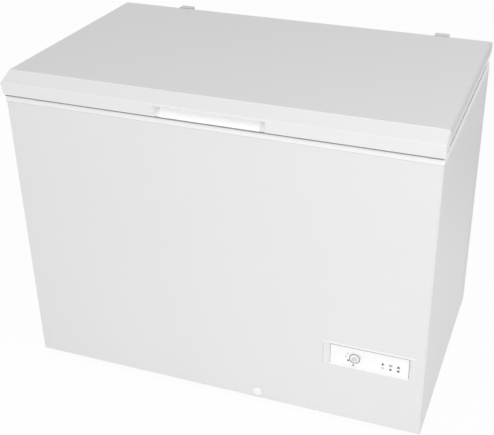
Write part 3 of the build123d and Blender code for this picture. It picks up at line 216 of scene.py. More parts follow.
# each finish, and the solids it is on
finishes = {
    "sheetEnamel": {"colour": grey(0.80), "rough": 0.30, "coat": 0.05, "cloud": 2.2, "grain": 420, "wave": 9,
                    "waveShare": 0.6, "bump": 0.12, "depth": 0.0003,
                    "on": ["outer_wrapper", "back_panel", "rear_grille"]},
    # the lid's enamel, set darker than the cabinet's though both are the same white: painted shade on the
    # lid's top and sides
    "lidEnamelShade": {"colour": grey(0.745), "rough": 0.36, "specular": 0.4, "cloud": 2.0, "grain": 420,
                  "wave": 8, "waveShare": 0.6, "bump": 0.12, "depth": 0.0003,
                  "on": ["lid_top_panel"]},
    "fasciaPlastic": {"colour": grey(0.85), "rough": 0.30, "coat": 1.0, "drift": 0.025, "grain": 900,
                      "bump": 0.05,
                      "on": ["lid_front_fascia", "lid_frame"]},
    "coverPlastic": {"colour": grey(0.69), "rough": 0.42, "grain": 800, "bump": 0.12,
                     "on": ["hinge_cover_left", "hinge_cover_right"]},
    "bezelPlastic": {"colour": grey(0.82), "rough": 0.40, "drift": 0.02, "grain": 900,
                     "on": ["control_bezel"]},
    # white plastic, lighter than the painted sheet: partly the plastic's own tone, partly a painted highlight
    # for the rim's rounded top edge
    "rimPlasticAndHighlight": {"colour": grey(0.92), "rough": 0.36, "coat": 0.9, "coatRough": 0.12, "drift": 0.02,
                   "grain": 900, "bump": 0.08,
                   "on": ["top_rim", "drain_cap", "drain_plug"]},
    "innerWhite": {"colour": (0.80, 0.80, 0.79), "rough": 0.42, "grain": 700, "bump": 0.15,
                   "on": ["lid_inner_liner", "control_housing", "drain_tube", "lid_lamp_base"]},
    "panelWhite": {"colour": grey(0.97), "rough": 0.22, "drift": 0.015, "grain": 1200, "bump": 0.05,
                   "on": ["control_plate", "handle_grip"]},
    "dialWhite": {"colour": grey(0.88), "rough": 0.4, "drift": 0.02, "grain": 1500, "bump": 0.12,
                  "on": ["thermostat_knob"]},
    "linerStucco": {"colour": (0.72, 0.73, 0.74), "rough": 0.34, "metal": 0.85, "drift": 0.05, "grain": 130,
                    "wave": 60, "waveShare": 0.35, "bump": 0.6, "depth": 0.0012,
                    "on": ["inner_liner"]},
    "foamCream": {"colour": (0.78, 0.70, 0.48), "rough": 0.9, "drift": 0.15, "cloud": 9, "grain": 260,
                  "bump": 0.5,
                  "on": ["cabinet_foam", "lid_foam"]},
    "zincSheet": {"colour": (0.56, 0.57, 0.59), "rough": 0.38, "metal": 0.9, "drift": 0.2, "cloud": 38,
                  "grain": 500,
                  "on": ["base_tray", "machine_box", "machine_floor", "compressor_base", "compressor_nuts",
                         "hinge_bracket_left", "hinge_bracket_right", "hinge_leaf_left", "hinge_leaf_right"]},
    "brightSteel": {"colour": grey(0.62), "rough": 0.25, "metal": 1.0, "drift": 0.06, "cloud": 20,
                    "grain": 900,
                    "on": ["hinge_pins", "hinge_plungers", "hinge_springs"]},
    "blackPaint": {"colour": (0.018, 0.018, 0.02), "rough": 0.3, "drift": 0.3, "grain": 350, "bump": 0.2,
                   "coat": 0.3,
                   "on": ["compressor_lower_shell", "compressor_upper_shell"]},
    "copperTube": {"colour": (0.75, 0.36, 0.20), "rough": 0.3, "metal": 1.0, "drift": 0.25, "cloud": 25,
                   "grain": 600,
                   "on": ["evaporator_coil", "condenser_coil", "suction_pipe", "discharge_pipe",
                          "filter_drier", "condenser_outlet", "capillary_tube"]},
    "sealGrey": {"colour": (0.12, 0.12, 0.125), "rough": 0.6, "drift": 0.08, "grain": 500, "bump": 0.2,
                 "on": ["lid_gasket"]},
    "footRubber": {"colour": grey(0.03), "rough": 0.65, "drift": 0.3, "grain": 500, "bump": 0.3,
                   "on": ["compressor_grommets", "feet"]},
    "darkPlastic": {"colour": (0.04, 0.04, 0.042), "rough": 0.5, "drift": 0.25, "grain": 700, "bump": 0.2,
                    "on": ["relay_box", "cord_gland", "thermostat"]},
    "boardGreen": {"colour": (0.03, 0.16, 0.07), "rough": 0.4, "drift": 0.3, "cloud": 60, "grain": 600,
                   "on": ["control_board"]},
    "lampTint": {"colour": (0.16, 0.18, 0.17), "rough": 0.2, "drift": 0.1, "cloud": 60, "grain": 1500,
                 "bump": 0.05,
                 "on": ["indicator_lamps"]},
    "lampLit": {"colour": (0.80, 0.84, 0.80), "rough": 0.2, "drift": 0.05, "cloud": 60, "grain": 1500,
                "bump": 0.05},
    "frostedLens": {"colour": (0.86, 0.87, 0.86), "rough": 0.5, "cloud": 20, "grain": 800, "bump": 0.2,
                    "on": ["lid_lamp_lens"]},
    "wireCoat": {"colour": grey(0.84), "rough": 0.3, "cloud": 12, "grain": 800, "coat": 0.3,
                 "on": ["basket_hoop", "basket_hangers", "basket_side_wires", "basket_floor_wires"]},
    "printGrey": {"colour": (0.12, 0.12, 0.13), "rough": 0.5, "drift": 0.1, "cloud": 80, "grain": 1500,
                  "bump": 0.02},
    # dark grey used as painted shade: the ring round the dial, the gaps round the control plate and the strip
    # under the lid's front
    "paintedShadeGrey": {"colour": (0.26, 0.26, 0.27), "rough": 0.6, "drift": 0.1, "cloud": 40, "grain": 1200,
                "bump": 0.02},
    "printPale": {"colour": (0.45, 0.46, 0.47), "rough": 0.5, "drift": 0.1, "cloud": 80, "grain": 1500,
                  "bump": 0.02},
}
finish = {name: makeMaterial(name, {**plainLook, **look}) for name, look in finishes.items()}
finishOf = {node: finish[name] for name, look in finishes.items() for node in look.get("on", [])}
for node, material in finishOf.items():
    slots = nodes[node].data.materials
    slots.clear()
    slots.append(material)
print("finishes ready", len(finish))


# a new object with these materials
def dressed(name, mesh, *materials):
    piece = bpy.data.objects.new(name, mesh)
    scene.collection.objects.link(piece)
    for material in materials:
        mesh.materials.append(material)
    return piece


# the piece rides on a body
def carry(piece, body):
    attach(piece, body)


# the piece stands for a node
def standFor(piece, node):
    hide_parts(node)
    carry(piece, bodyOf[node])
    return piece


def meshFrom(builder, name):
    bm = bmesh.new()
    builder(bm)
    mesh = bpy.data.meshes.new(name)
    bm.to_mesh(mesh)
    bm.free()
    return mesh


def boxMesh(name, low, high):
    def build(bm):
        zs, ys, xs = [(low[i], high[i]) for i in (2, 1, 0)]
        spots = [bm.verts.new((x, y, z)) for z in zs for y in ys for x in xs]
        for side in ((0, 2, 3, 1), (4, 5, 7, 6), (0, 1, 5, 4), (2, 6, 7, 3), (0, 4, 6, 2), (1, 3, 7, 5)):
            bm.faces.new([spots[i] for i in side])

    return meshFrom(build, name)


def settled(piece):
    # the piece as its modifiers leave it, as plain mesh
    bpy.context.view_layer.update()
    seen = piece.evaluated_get(bpy.context.evaluated_depsgraph_get())
    mesh = bpy.data.meshes.new_from_object(seen)
    piece.modifiers.clear()
    old = piece.data
    piece.data = mesh
    bpy.data.meshes.remove(old)
    return piece


def middleOf(low, high):
    return [(a + b) / 2 for a, b in zip(low, high)]


# metres between twin points of a solid and of a turned piece, degrees between level faces
cleaning = {"weld": 0.00002, "turnedWeld": 1e-6, "flat": 0.6}


# each separate solid of a node, as its lowest and highest corner
def solidBoxes(node):
    bm = bmesh.new()
    bm.from_mesh(nodes[node].data)
    bmesh.ops.remove_doubles(bm, verts=bm.verts, dist=cleaning["weld"])
    left = set(bm.verts)
    boxes = []
    while left:
        reach = [left.pop()]
        spots = []
        while reach:
            vert = reach.pop()
            spots.append(vert.co.copy())
            for edge in vert.link_edges:
                other = edge.other_vert(vert)
                if other in left:
                    left.remove(other)
                    reach.append(other)
        boxes.append(([min(axis) for axis in zip(*spots)], [max(axis) for axis in zip(*spots)]))
    bm.free()
    return sorted(boxes, key=lambda box: [round(v, 4) for v in box[0]])


bendSteps = 6  # points round each bend of a wire


# round wire or tube along every run of edges, with its corners bent
def makeWireTree():
    tree, given, out = newGroup(
        "wireRun", "GeometryNodeTree",
        [("Geometry", "Geometry", None), ("Radius", "Float", 0.002), ("Bend", "Float", 0.006),
         ("Sides", "Int", 12), ("Material", "Material", None)],
        [("Geometry", "Geometry")],
    )
    link = tree.links.new
    curve = addNode(tree, "GeometryNodeMeshToCurve")
    bend = addNode(tree, "GeometryNodeFilletCurve", mode="POLY")
    bend.inputs["Count"].default_value = bendSteps
    bend.inputs["Limit Radius"].default_value = True
    ring = addNode(tree, "GeometryNodeCurvePrimitiveCircle", mode="RADIUS")
    tube = addNode(tree, "GeometryNodeCurveToMesh")
    tube.inputs["Fill Caps"].default_value = True
    smooth = addNode(tree, "GeometryNodeSetShadeSmooth")
    coat = addNode(tree, "GeometryNodeSetMaterial")
    link(given.outputs["Geometry"], curve.inputs["Mesh"])
    link(curve.outputs["Curve"], bend.inputs["Curve"])
    link(given.outputs["Bend"], bend.inputs["Radius"])
    link(given.outputs["Radius"], ring.inputs["Radius"])
    link(given.outputs["Sides"], ring.inputs["Resolution"])
    link(bend.outputs["Curve"], tube.inputs["Curve"])
    link(ring.outputs["Curve"], tube.inputs["Profile Curve"])
    link(tube.outputs["Mesh"], smooth.inputs["Geometry"])
    link(smooth.outputs[0], coat.inputs["Geometry"])
    link(given.outputs["Material"], coat.inputs["Material"])
    link(coat.outputs[0], out.inputs[0])
    return tree


# the cross's two bars and their height, as shares of a head's radius and height
screwHead = {"segments": 20, "rings": 8, "bars": ((1.1, 0.2, 0.3), (0.2, 1.1, 0.3)), "barRise": 0.86}


# round-headed screws with a cross recess, one on each point
def makeScrewTree():
    tree, given, out = newGroup(
        "crossScrews", "GeometryNodeTree",
        [("Geometry", "Geometry", None), ("Head Radius", "Float", 0.004), ("Head Height", "Float", 0.0018),
         ("Turn", "Vector", (0.0, 0.0, 0.0)), ("Spread", "Float", 1.2), ("Seed", "Int", 5),
         ("Material", "Material", None), ("Recess Material", "Material", None)],
        [("Geometry", "Geometry")],
    )
    link = tree.links.new
    size = addNode(tree, "ShaderNodeCombineXYZ")
    link(given.outputs["Head Radius"], size.inputs["X"])
    link(given.outputs["Head Radius"], size.inputs["Y"])
    link(given.outputs["Head Height"], size.inputs["Z"])
    rise = addNode(tree, "ShaderNodeVectorMath", operation="MULTIPLY")
    rise.inputs[1].default_value = (0, 0, screwHead["barRise"])
    link(size.outputs[0], rise.inputs[0])
    join = addNode(tree, "GeometryNodeJoinGeometry")

    # a form taken to the head's size, with its material, joined to the rest
    def shaped(geometry, material, lift=None):
        place = addNode(tree, "GeometryNodeTransform")
        coat = addNode(tree, "GeometryNodeSetMaterial")
        link(geometry, place.inputs["Geometry"])
        link(size.outputs[0], place.inputs["Scale"])
        if lift:
            link(lift, place.inputs["Translation"])
        link(place.outputs[0], coat.inputs["Geometry"])
        link(given.outputs[material], coat.inputs["Material"])
        link(coat.outputs[0], join.inputs[0])

    dome = addNode(tree, "GeometryNodeMeshUVSphere")
    dome.inputs["Segments"].default_value = screwHead["segments"]
    dome.inputs["Rings"].default_value = screwHead["rings"]
    smooth = addNode(tree, "GeometryNodeSetShadeSmooth")
    link(dome.outputs["Mesh"], smooth.inputs["Geometry"])
    shaped(smooth.outputs[0], "Material")
    for barSize in screwHead["bars"]:
        bar = addNode(tree, "GeometryNodeMeshCube")
        bar.inputs["Size"].default_value = barSize
        shaped(bar.outputs["Mesh"], "Recess Material", rise.outputs[0])
    chance = addNode(tree, "FunctionNodeRandomValue", data_type="FLOAT")
    chance.inputs[2].default_value = 0.0
    link(given.outputs["Spread"], chance.inputs[3])
    link(given.outputs["Seed"], chance.inputs["Seed"])
    spin = addNode(tree, "ShaderNodeCombineXYZ")
    link(chance.outputs[1], spin.inputs["Z"])
    points = addNode(tree, "GeometryNodeMeshToPoints")
    scatter = addNode(tree, "GeometryNodeInstanceOnPoints")
    aim = addNode(tree, "GeometryNodeRotateInstances")
    aim.inputs["Local Space"].default_value = True
    link(given.outputs["Geometry"], points.inputs["Mesh"])
    link(points.outputs["Points"], scatter.inputs["Points"])
    link(join.outputs[0], scatter.inputs["Instance"])
    link(given.outputs["Turn"], scatter.inputs["Rotation"])
    link(scatter.outputs["Instances"], aim.inputs["Instances"])
    link(spin.outputs[0], aim.inputs["Rotation"])
    whole = addNode(tree, "GeometryNodeRealizeInstances")
    link(aim.outputs[0], whole.inputs[0])
    link(whole.outputs[0], out.inputs[0])
    return tree


wireRun = makeWireTree()
crossScrews = makeScrewTree()


# runs of points as loose edges, or single points
def runMesh(name, runs):
    mesh = bpy.data.meshes.new(name)
    spots = [tuple(p) for run in runs for p in run]
    edges = []
    start = 0
    for run in runs:
        edges += [(start + i, start + i + 1) for i in range(len(run) - 1)]
        start += len(run)
    mesh.from_pydata(spots, edges, [])
    return mesh


# what a node tree makes of these runs, as plain mesh
def grown(name, runs, tree, values):
    piece = dressed(name, runMesh(name, runs))
    maker = piece.modifiers.new("maker", "NODES")
    maker.node_group = tree
    for item in tree.interface.items_tree:
        if item.item_type == "SOCKET" and item.in_out == "INPUT" and item.name in values:
            maker[item.identifier] = values[item.name]
    return settled(piece)


# degrees between faces: where an edge is bevelled, and where it stays sharp in shading
edgeAngles = {"bevel": 32, "flat": 30, "turned": 38, "faceted": 50}


# rounded edges, curved faces shaded smooth, flat faces kept flat
def finishEdges(piece, width, segments=3, sharp="flat"):
    if width:
        bevel = piece.modifiers.new("edge", "BEVEL")
        bevel.width = width
        bevel.segments = segments
        bevel.limit_method = "ANGLE"
        bevel.angle_limit = math.radians(edgeAngles["bevel"])
        bevel.use_clamp_overlap = True
        settled(piece)
    for face in piece.data.polygons:
        face.use_smooth = True
    piece.data.set_sharp_from_angle(angle=math.radians(edgeAngles[sharp]))
    normals = piece.modifiers.new("normals", "WEIGHTED_NORMAL")
    normals.keep_sharp = True
    return settled(piece)


def roundedBox(name, low, high, tone, width, segments=3):
    return finishEdges(dressed(name, boxMesh(name, low, high), finish[tone]), width, segments)


# a solid's own shape with its sharp edges eased
def easedCopy(node, width, sharp="flat"):
    mesh = nodes[node].data.copy()
    bm = bmesh.new()
    bm.from_mesh(mesh)
    bmesh.ops.remove_doubles(bm, verts=bm.verts, dist=cleaning["weld"])
    bmesh.ops.dissolve_limit(bm, angle_limit=math.radians(cleaning["flat"]), verts=bm.verts, edges=bm.edges)
    bm.to_mesh(mesh)
    bm.free()
    mesh.materials.clear()
    piece = dressed(node + ".eased", mesh, finishOf[node])
    return standFor(finishEdges(piece, width, sharp=sharp), node)


easeWidths = {
    "lid_front_fascia": 0.0012, "lid_top_panel": 0.0006, "lid_frame": 0.0008, "top_rim": 0.0010,
    "control_bezel": 0.0008, "control_plate": 0.0004, "handle_grip": 0.0005,
    "hinge_cover_left": 0.0025, "hinge_cover_right": 0.0025, "lid_inner_liner": 0.0020,
    "inner_liner": 0.0012, "outer_wrapper": 0.0002, "back_panel": 0.0002, "rear_grille": 0.0005,
    "hinge_bracket_left": 0.0004, "hinge_bracket_right": 0.0004, "hinge_leaf_left": 0.0003,
    "hinge_leaf_right": 0.0003, "hinge_plungers": 0.0004, "relay_box": 0.0015,
    "compressor_base": 0.0008, "control_housing": 0.0008, "lid_lamp_base": 0.0006, "cord_gland": 0.0004,
    "machine_floor": 0.0003, "base_tray": 0.0003,
}
for node, width in easeWidths.items():
    easedCopy(node, width)
# rounds that are faceted in the solids: only the shells get an eased edge, the rest change in shading
roundNodes = {
    "compressor_lower_shell": 0.0030, "compressor_upper_shell": 0.0030, "suction_pipe": 0,
    "discharge_pipe": 0, "condenser_outlet": 0, "capillary_tube": 0, "filter_drier": 0,
    "evaporator_coil": 0, "condenser_coil": 0, "drain_tube": 0, "compressor_grommets": 0,
}
for node, width in roundNodes.items():
    easedCopy(node, width, "faceted")
print("eased pieces", len(easeWidths) + len(roundNodes))


# an outline of (radius, height) pairs spun round an axis, once at each place
def turned(name, outline, places, axis, *materials, steps=48):
    def spinOutline(bm):
        turn = Vector((0, 0, 1)).rotation_difference(Vector(axis)).to_matrix().to_4x4()
        for place in places:
            verts = [bm.verts.new((r, 0, h)) for r, h in outline]
            edges = [bm.edges.new(pair) for pair in zip(verts, verts[1:])]
            bmesh.ops.spin(bm, geom=verts + edges, cent=(0, 0, 0), axis=(0, 0, 1), dvec=(0, 0, 0),
                           angle=2 * math.pi, steps=steps, use_merge=True)
            fresh = [v for v in bm.verts if not v.tag]
            bmesh.ops.remove_doubles(bm, verts=fresh, dist=cleaning["turnedWeld"])
            fresh = [v for v in bm.verts if not v.tag]
            bmesh.ops.transform(bm, matrix=Matrix.Translation(place) @ turn, verts=fresh)
            for vert in fresh:
                vert.tag = True
        bmesh.ops.recalc_face_normals(bm, faces=bm.faces)

    piece = dressed(name, meshFrom(spinOutline, name), *materials)
    return finishEdges(piece, 0, sharp="turned")


# points along a rounded corner of an outline, from one angle to another
def cornerArc(radius, height, bend, start, end, count=5):
    points = []
    for i in range(count + 1):
        a = math.radians(start + (end - start) * i / count)
        points.append((radius + bend * math.cos(a), height + bend * math.sin(a)))
    return points


def rectangle(x0, z0, x1, z1):
    return [(x0, z0), (x1, z0), (x1, z1), (x0, z1)]


def ringOutline(x, z, radius, count):
    turn = [2 * math.pi * i / count for i in range(count)]
    return [(x + radius * math.cos(a), z + radius * math.sin(a)) for a in turn]


# thin raised print: outlines in the (x, z) plane, their faces at depth y
def printed(name, outlines, y, thickness, tone):
    def build(bm):
        for outline in outlines:
            face = bm.faces.new([bm.verts.new((px, y, pz)) for px, pz in outline])
            new = bmesh.ops.extrude_face_region(bm, geom=[face])
            moved = [v for v in new["geom"] if isinstance(v, bmesh.types.BMVert)]
            bmesh.ops.translate(bm, vec=(0, thickness, 0), verts=moved)
        bmesh.ops.recalc_face_normals(bm, faces=bm.faces)

    return dressed(name, meshFrom(build, name), finish[tone])


def printedRing(name, centre, inner, outer, thickness, tone, steps=48):
    x, y, z = centre

    def build(bm):
        turn = [2 * math.pi * i / steps for i in range(steps)]
        loops = [[bm.verts.new((x + r * math.cos(a), depth, z + r * math.sin(a))) for a in turn]
                 for r, depth in ((inner, y), (outer, y), (outer, y + thickness), (inner, y + thickness))]
        for loop, after in zip(loops, loops[1:] + loops[:1]):
            for i in range(steps):
                j = (i + 1) % steps
                bm.faces.new((loop[i], loop[j], after[j], after[i]))
        bmesh.ops.recalc_face_normals(bm, faces=bm.faces)

    return dressed(name, meshFrom(build, name), finish[tone])


dial = {
    "disc": 0.0066, "rim": 0.0010, "land": 0.0022, "groove": 0.0006, "backEdge": 0.0004,
    "boss": 0.0070, "bossRim": 0.0007, "bossFoot": 0.0002, "bossTaper": 0.0003,
    "spindle": 0.0030, "gap": 0.0003,
    "pointer": (0.0011, 0.0002), "pointerStart": 0.0010, "pointerReach": 0.34,
    "ring": 0.0024, "ringInset": 0.0001, "bossRing": 0.0010, "bossRingInset": 0.0006, "ringThick": 0.0009,
}


def makeDial():
    low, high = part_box("thermostat_knob")
    x, _, z = middleOf(low, high)
    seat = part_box("control_plate")[0][1] - dial["gap"]
    edge = (high[0] - low[0]) / 2
    top = seat - low[1]
    tail = seat - high[1]
    rim, bossRim, disc = dial["rim"], dial["bossRim"], dial["disc"]
    boss, groove, spindle, backEdge = dial["boss"], dial["groove"], dial["spindle"], dial["backEdge"]
    inner = edge - rim - dial["land"]
    outline = [(0, tail), (spindle, tail), (spindle, 0), (edge - backEdge, 0), (edge, backEdge)]
    outline += cornerArc(edge - rim, disc - rim, rim, 0, 90)
    outline += [(inner, disc), (inner - groove, disc - groove)]
    outline += [(boss + groove, disc - groove), (boss, disc - dial["bossFoot"])]
    outline += cornerArc(boss - bossRim - dial["bossTaper"], top - bossRim, bossRim, 0, 90)
    outline += [(0, top)]
    knob = turned("dial.turned", outline, [(x, seat, z)], (0, -1, 0), finish["dialWhite"], steps=64)
    standFor(knob, "thermostat_knob")
    half, proud = dial["pointer"]
    reach = (edge - rim) * dial["pointerReach"]
    flat = rectangle(x - half, z + dial["pointerStart"], x + half, z + reach)
    pointer = printed("dial.pointer", [flat], low[1] - proud / 2, proud, "printPale")
    carry(pointer, "thermostat_knob")


# a dark ring along the dial's rim as painted shade round the knob's edge, and a paler one on its boss
def makeDialRings():
    low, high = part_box("thermostat_knob")
    x, _, z = middleOf(low, high)
    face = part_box("control_plate")[0][1] - dial["gap"] - dial["disc"] - dial["ringInset"]
    edge = (high[0] - low[0]) / 2 - dial["ringInset"]
    bossEdge = dial["boss"] - dial["bossRim"] - dial["bossRingInset"]
    for name, y, outer, wide, tone in (
        # the dark ring is painted shade round the knob's edge
        ("dial.edgeShade", face, edge, dial["ring"], "paintedShadeGrey"),
        ("dial.bossRing", low[1], bossEdge, dial["bossRing"], "printPale"),
    ):
        ring = printedRing(name, (x, y, z), outer - wide, outer, dial["ringThick"], tone)
        carry(ring, "thermostat_knob")


makeDial()


# dial marks are (reach, angle, radius) from the dial's middle
panelPrint = {
    "lift": 0.00008, "over": 0.0130, "square": (0.0050, 0.0036), "triangle": 0.0054, "triangleFoot": 0.7,
    "drop": 0.0056, "dropShare": 0.62, "dropSink": 0.0006, "lampRing": 0.0011,
    "faintMarks": [(0.0224, 158, 0.0023), (0.0264, 186, 0.0023)],
    "marks": [(0.0240, 217, 0.0030), (0.0276, 260, 0.0026)],
}
lampPipe = {"domeTurns": (0.5, 0.9, 1.25), "steps": 20}


def makePanelLamps():
    boxes = solidBoxes("indicator_lamps")
    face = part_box("control_plate")[0][1]
    low, high = boxes[0]
    radius = (high[0] - low[0]) / 2
    proud = face - low[1]
    depth = high[1] - face
    dome = [(0, -depth), (radius, -depth), (radius, 0)]
    dome += [(radius * math.cos(a), proud * math.sin(a)) for a in lampPipe["domeTurns"]] + [(0, proud)]
    middles = [middleOf(*box) for box in boxes]
    places = [(x, face, z) for x, _, z in middles]
    lamps = turned("panelLamps", dome, places, (0, -1, 0), finish["lampTint"], finish["lampLit"],
                   steps=lampPipe["steps"])
    firstEnd = (middles[0][0] + middles[1][0]) / 2
    for polygon in lamps.data.polygons:
        if polygon.center.x < firstEnd:
            polygon.material_index = 1
    standFor(lamps, "indicator_lamps")
    return places, radius


# a drop, a square and a triangle over the three lamps
def makeSymbols(places):
    lift, up = panelPrint["lift"], panelPrint["over"]
    y = places[0][1] - lift
    (x1, _, z1), (x2, _, z2), (x3, _, z3) = places
    tall, sink = panelPrint["drop"], panelPrint["dropSink"]
    drop = ringOutline(x1, z1 + up - sink, tall * panelPrint["dropShare"], count=14)
    drop = [p for p in drop if p[1] < z1 + up + sink] + [(x1, z1 + up + tall)]
    drop.sort(key=lambda p: math.atan2(p[1] - (z1 + up - sink / 2), p[0] - x1))
    side = panelPrint["triangle"]
    foot = z3 + up - side * panelPrint["triangleFoot"]
    triangle = [(x3 - side, foot), (x3 + side, foot), (x3, z3 + up + side)]
    half, tall = panelPrint["square"]
    square = rectangle(x2 - half, z2 + up - tall, x2 + half, z2 + up + tall)
    carry(printed("panelPrint.dark", [drop, triangle], y, lift, "printGrey"), "cabinet")
    carry(printed("panelPrint.pale", [square], y, lift, "printPale"), "cabinet")


# rings round the lamps, and the dots of the dial's scale
def makeMarks(places, lampRadius):
    lift = panelPrint["lift"]
    y = places[0][1] - lift
    outer = lampRadius + panelPrint["lampRing"]
    marks = []
    tones = {"One": "printPale", "Two": "printGrey", "Three": "printGrey"}
    for (x, _, z), (word, tone) in zip(places, tones.items()):
        name = "panelPrint.lamp" + word
        marks.append(printedRing(name, (x, y, z), lampRadius, outer, lift, tone, steps=24))
    x, _, z = middleOf(*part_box("thermostat_knob"))
    for name, key, tone in (("scale", "marks", "printGrey"), ("scaleEnd", "faintMarks", "printPale")):
        dots = []
        for reach, angle, radius in panelPrint[key]:
            a = math.radians(angle)
            dots.append(ringOutline(x + reach * math.cos(a), z + reach * math.sin(a), radius, count=12))
        marks.append(printed("panelPrint." + name, dots, y, lift, tone))
    for piece in marks:
        carry(piece, "cabinet")


panelTrim = {
    "gap": 0.0011, "rightShare": 1.6, "lap": 0.001, "lift": 0.0001, "seam": 0.0010,
    "topEdge": 0.0034, "proud": 0.0005, "edgeDeep": 0.0024, "edgeRound": 0.0011,
    "mouth": 0.005, "sillSink": 0.0006, "sillLap": 0.0005, "sillRound": 0.0012,
}


def makePanelTrim():
    # painted shade strips for the gaps at the plate's ends and top, and a white strip as a painted highlight
    # along the surround's upper edge
    low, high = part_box("control_plate")
    plateFace, lap = low[1], panelTrim["lap"]
    x0, x1, z0, z1 = low[0] + lap, high[0] - lap, low[2] + lap, high[2] - lap
    gap, lift = panelTrim["gap"], panelTrim["lift"]
    strips = [rectangle(x0, z0, x0 + gap, z1),
              rectangle(x1 - gap * panelTrim["rightShare"], z0, x1, z1),
              rectangle(x0, z1 - gap, x1, z1)]
    # grey strips: painted shade in the gaps round the plate
    shade = printed("panelTrim.gapShade", strips, plateFace - lift, lift, "paintedShadeGrey")
    low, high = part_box("control_bezel")
    face, edge = low[1], panelTrim["topEdge"]
    left = low[0] + edge
    joint = rectangle(left, low[2], left + panelTrim["seam"], high[2] - edge)
    seam = printed("panelTrim.seam", [joint], face - lift, lift, "printPale")
    # white strip, proud of the surround: painted highlight along its top edge
    bright = roundedBox("panelTrim.edgeHighlight", (low[0], face - panelTrim["proud"], high[2] - edge),
                        (high[0], face + panelTrim["edgeDeep"], high[2]), "panelWhite",
                        panelTrim["edgeRound"])
    sink = panelTrim["sillSink"]
    sill = roundedBox("panelTrim.sill", (x0, face + sink, low[2] + panelTrim["mouth"] - panelTrim["sillLap"]),
                      (x1, plateFace, z0 + sink), "panelWhite", panelTrim["sillRound"])
    for piece in (shade, bright, sill, seam):
        carry(piece, "cabinet")


lampPlaces, lampRadius = makePanelLamps()
makeSymbols(lampPlaces)
makeDialRings()
makeMarks(lampPlaces, lampRadius)
makePanelTrim()
print("panel ready")


drain = {
    "bar": (0.0078, 0.0014, 0.0010), "barSink": 0.75, "barRound": 0.0006, "rim": 0.0012, "backEdge": 0.0003,
    "stem": 0.0085, "gap": 0.0003, "domeSteps": 8,
}


def makeDrainCap():
    low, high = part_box("drain_cap")
    x, _, z = middleOf(low, high)
    radius = (high[0] - low[0]) / 2
    long, thick, proud = drain["bar"]
    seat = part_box("drain_tube")[0][1] - drain["gap"]
    tall = seat - low[1] - proud
    tail = seat - high[1]
    rim, stem, backEdge = drain["rim"], drain["stem"], drain["backEdge"]
    outline = [(0, tail), (stem, tail), (stem, 0), (radius - backEdge, 0), (radius, backEdge)]
    for i in range(drain["domeSteps"]):
        a = math.radians(90 * i / drain["domeSteps"])
        outline.append((radius * math.cos(a), rim + (tall - rim) * math.sin(a)))
    outline.append((0, tall))
    cap = turned("drainCap.turned", outline, [(x, seat, z)], (0, -1, 0), finish["rimPlasticAndHighlight"])
    standFor(cap, "drain_cap")
    bar = roundedBox("drainCap.bar", (x - long, low[1], z - thick),
                     (x + long, seat - tall * drain["barSink"], z + thick), "rimPlasticAndHighlight", drain["barRound"])
    carry(bar, "drain_cap")


plug = {
    "rim": 0.0010, "disc": 0.0040, "backEdge": 0.0004, "stemTaper": (0.001, 0.002),
    "grip": (0.0100, 0.0020, 0.0070), "gripSink": 0.0005, "gripRound": 0.0015,
}


def makeDrainPlug():
    low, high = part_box("drain_plug")
    x, y, _ = middleOf(low, high)
    radius = (high[0] - low[0]) / 2
    long, thick, tall = plug["grip"]
    rim, disc, stem = plug["rim"], plug["disc"], drain["stem"]
    base = high[2] - tall - disc
    end = low[2] - base
    narrow, rise = plug["stemTaper"]
    outline = [(0, end), (stem - narrow, end), (stem, end + rise), (stem, 0), (radius - plug["backEdge"], 0)]
    outline += cornerArc(radius - rim, disc - rim, rim, -30, 90) + [(0, disc)]
    body = turned("drainPlug.turned", outline, [(x, y, base)], (0, 0, 1), finish["rimPlasticAndHighlight"], steps=40)
    standFor(body, "drain_plug")
    grip = roundedBox("drainPlug.grip", (x - long, y - thick, base + disc - plug["gripSink"]),
                      (x + long, y + thick, high[2]), "rimPlasticAndHighlight", plug["gripRound"], segments=4)
    carry(grip, "drain_plug")


foot = {"edge": 0.0030, "waist": 0.0020, "collar": 0.0060}


def makeFeet():
    boxes = solidBoxes("feet")
    low, high = boxes[0]
    radius, tall = (high[0] - low[0]) / 2, high[2] - low[2]
    edge, waist, collar = foot["edge"], foot["waist"], foot["collar"]
    outline = [(0, 0)] + cornerArc(radius - edge, edge, edge, -90, 0)
    neck = radius - waist
    outline += [(radius, tall - collar), (neck, tall - collar + waist), (neck, tall), (0, tall)]
    places = [((a[0] + b[0]) / 2, (a[1] + b[1]) / 2, a[2]) for a, b in boxes]
    standFor(turned("feet.turned", outline, places, (0, 0, 1), finish["footRubber"], steps=40), "feet")


makeDrainCap()
makeDrainPlug()
makeFeet()
print("drain and feet ready")


basketWire = {"hoopBend": 0.010, "hangerBend": 0.004, "grid": 0.0016, "sides": 12, "hoopJoint": 0.0001}


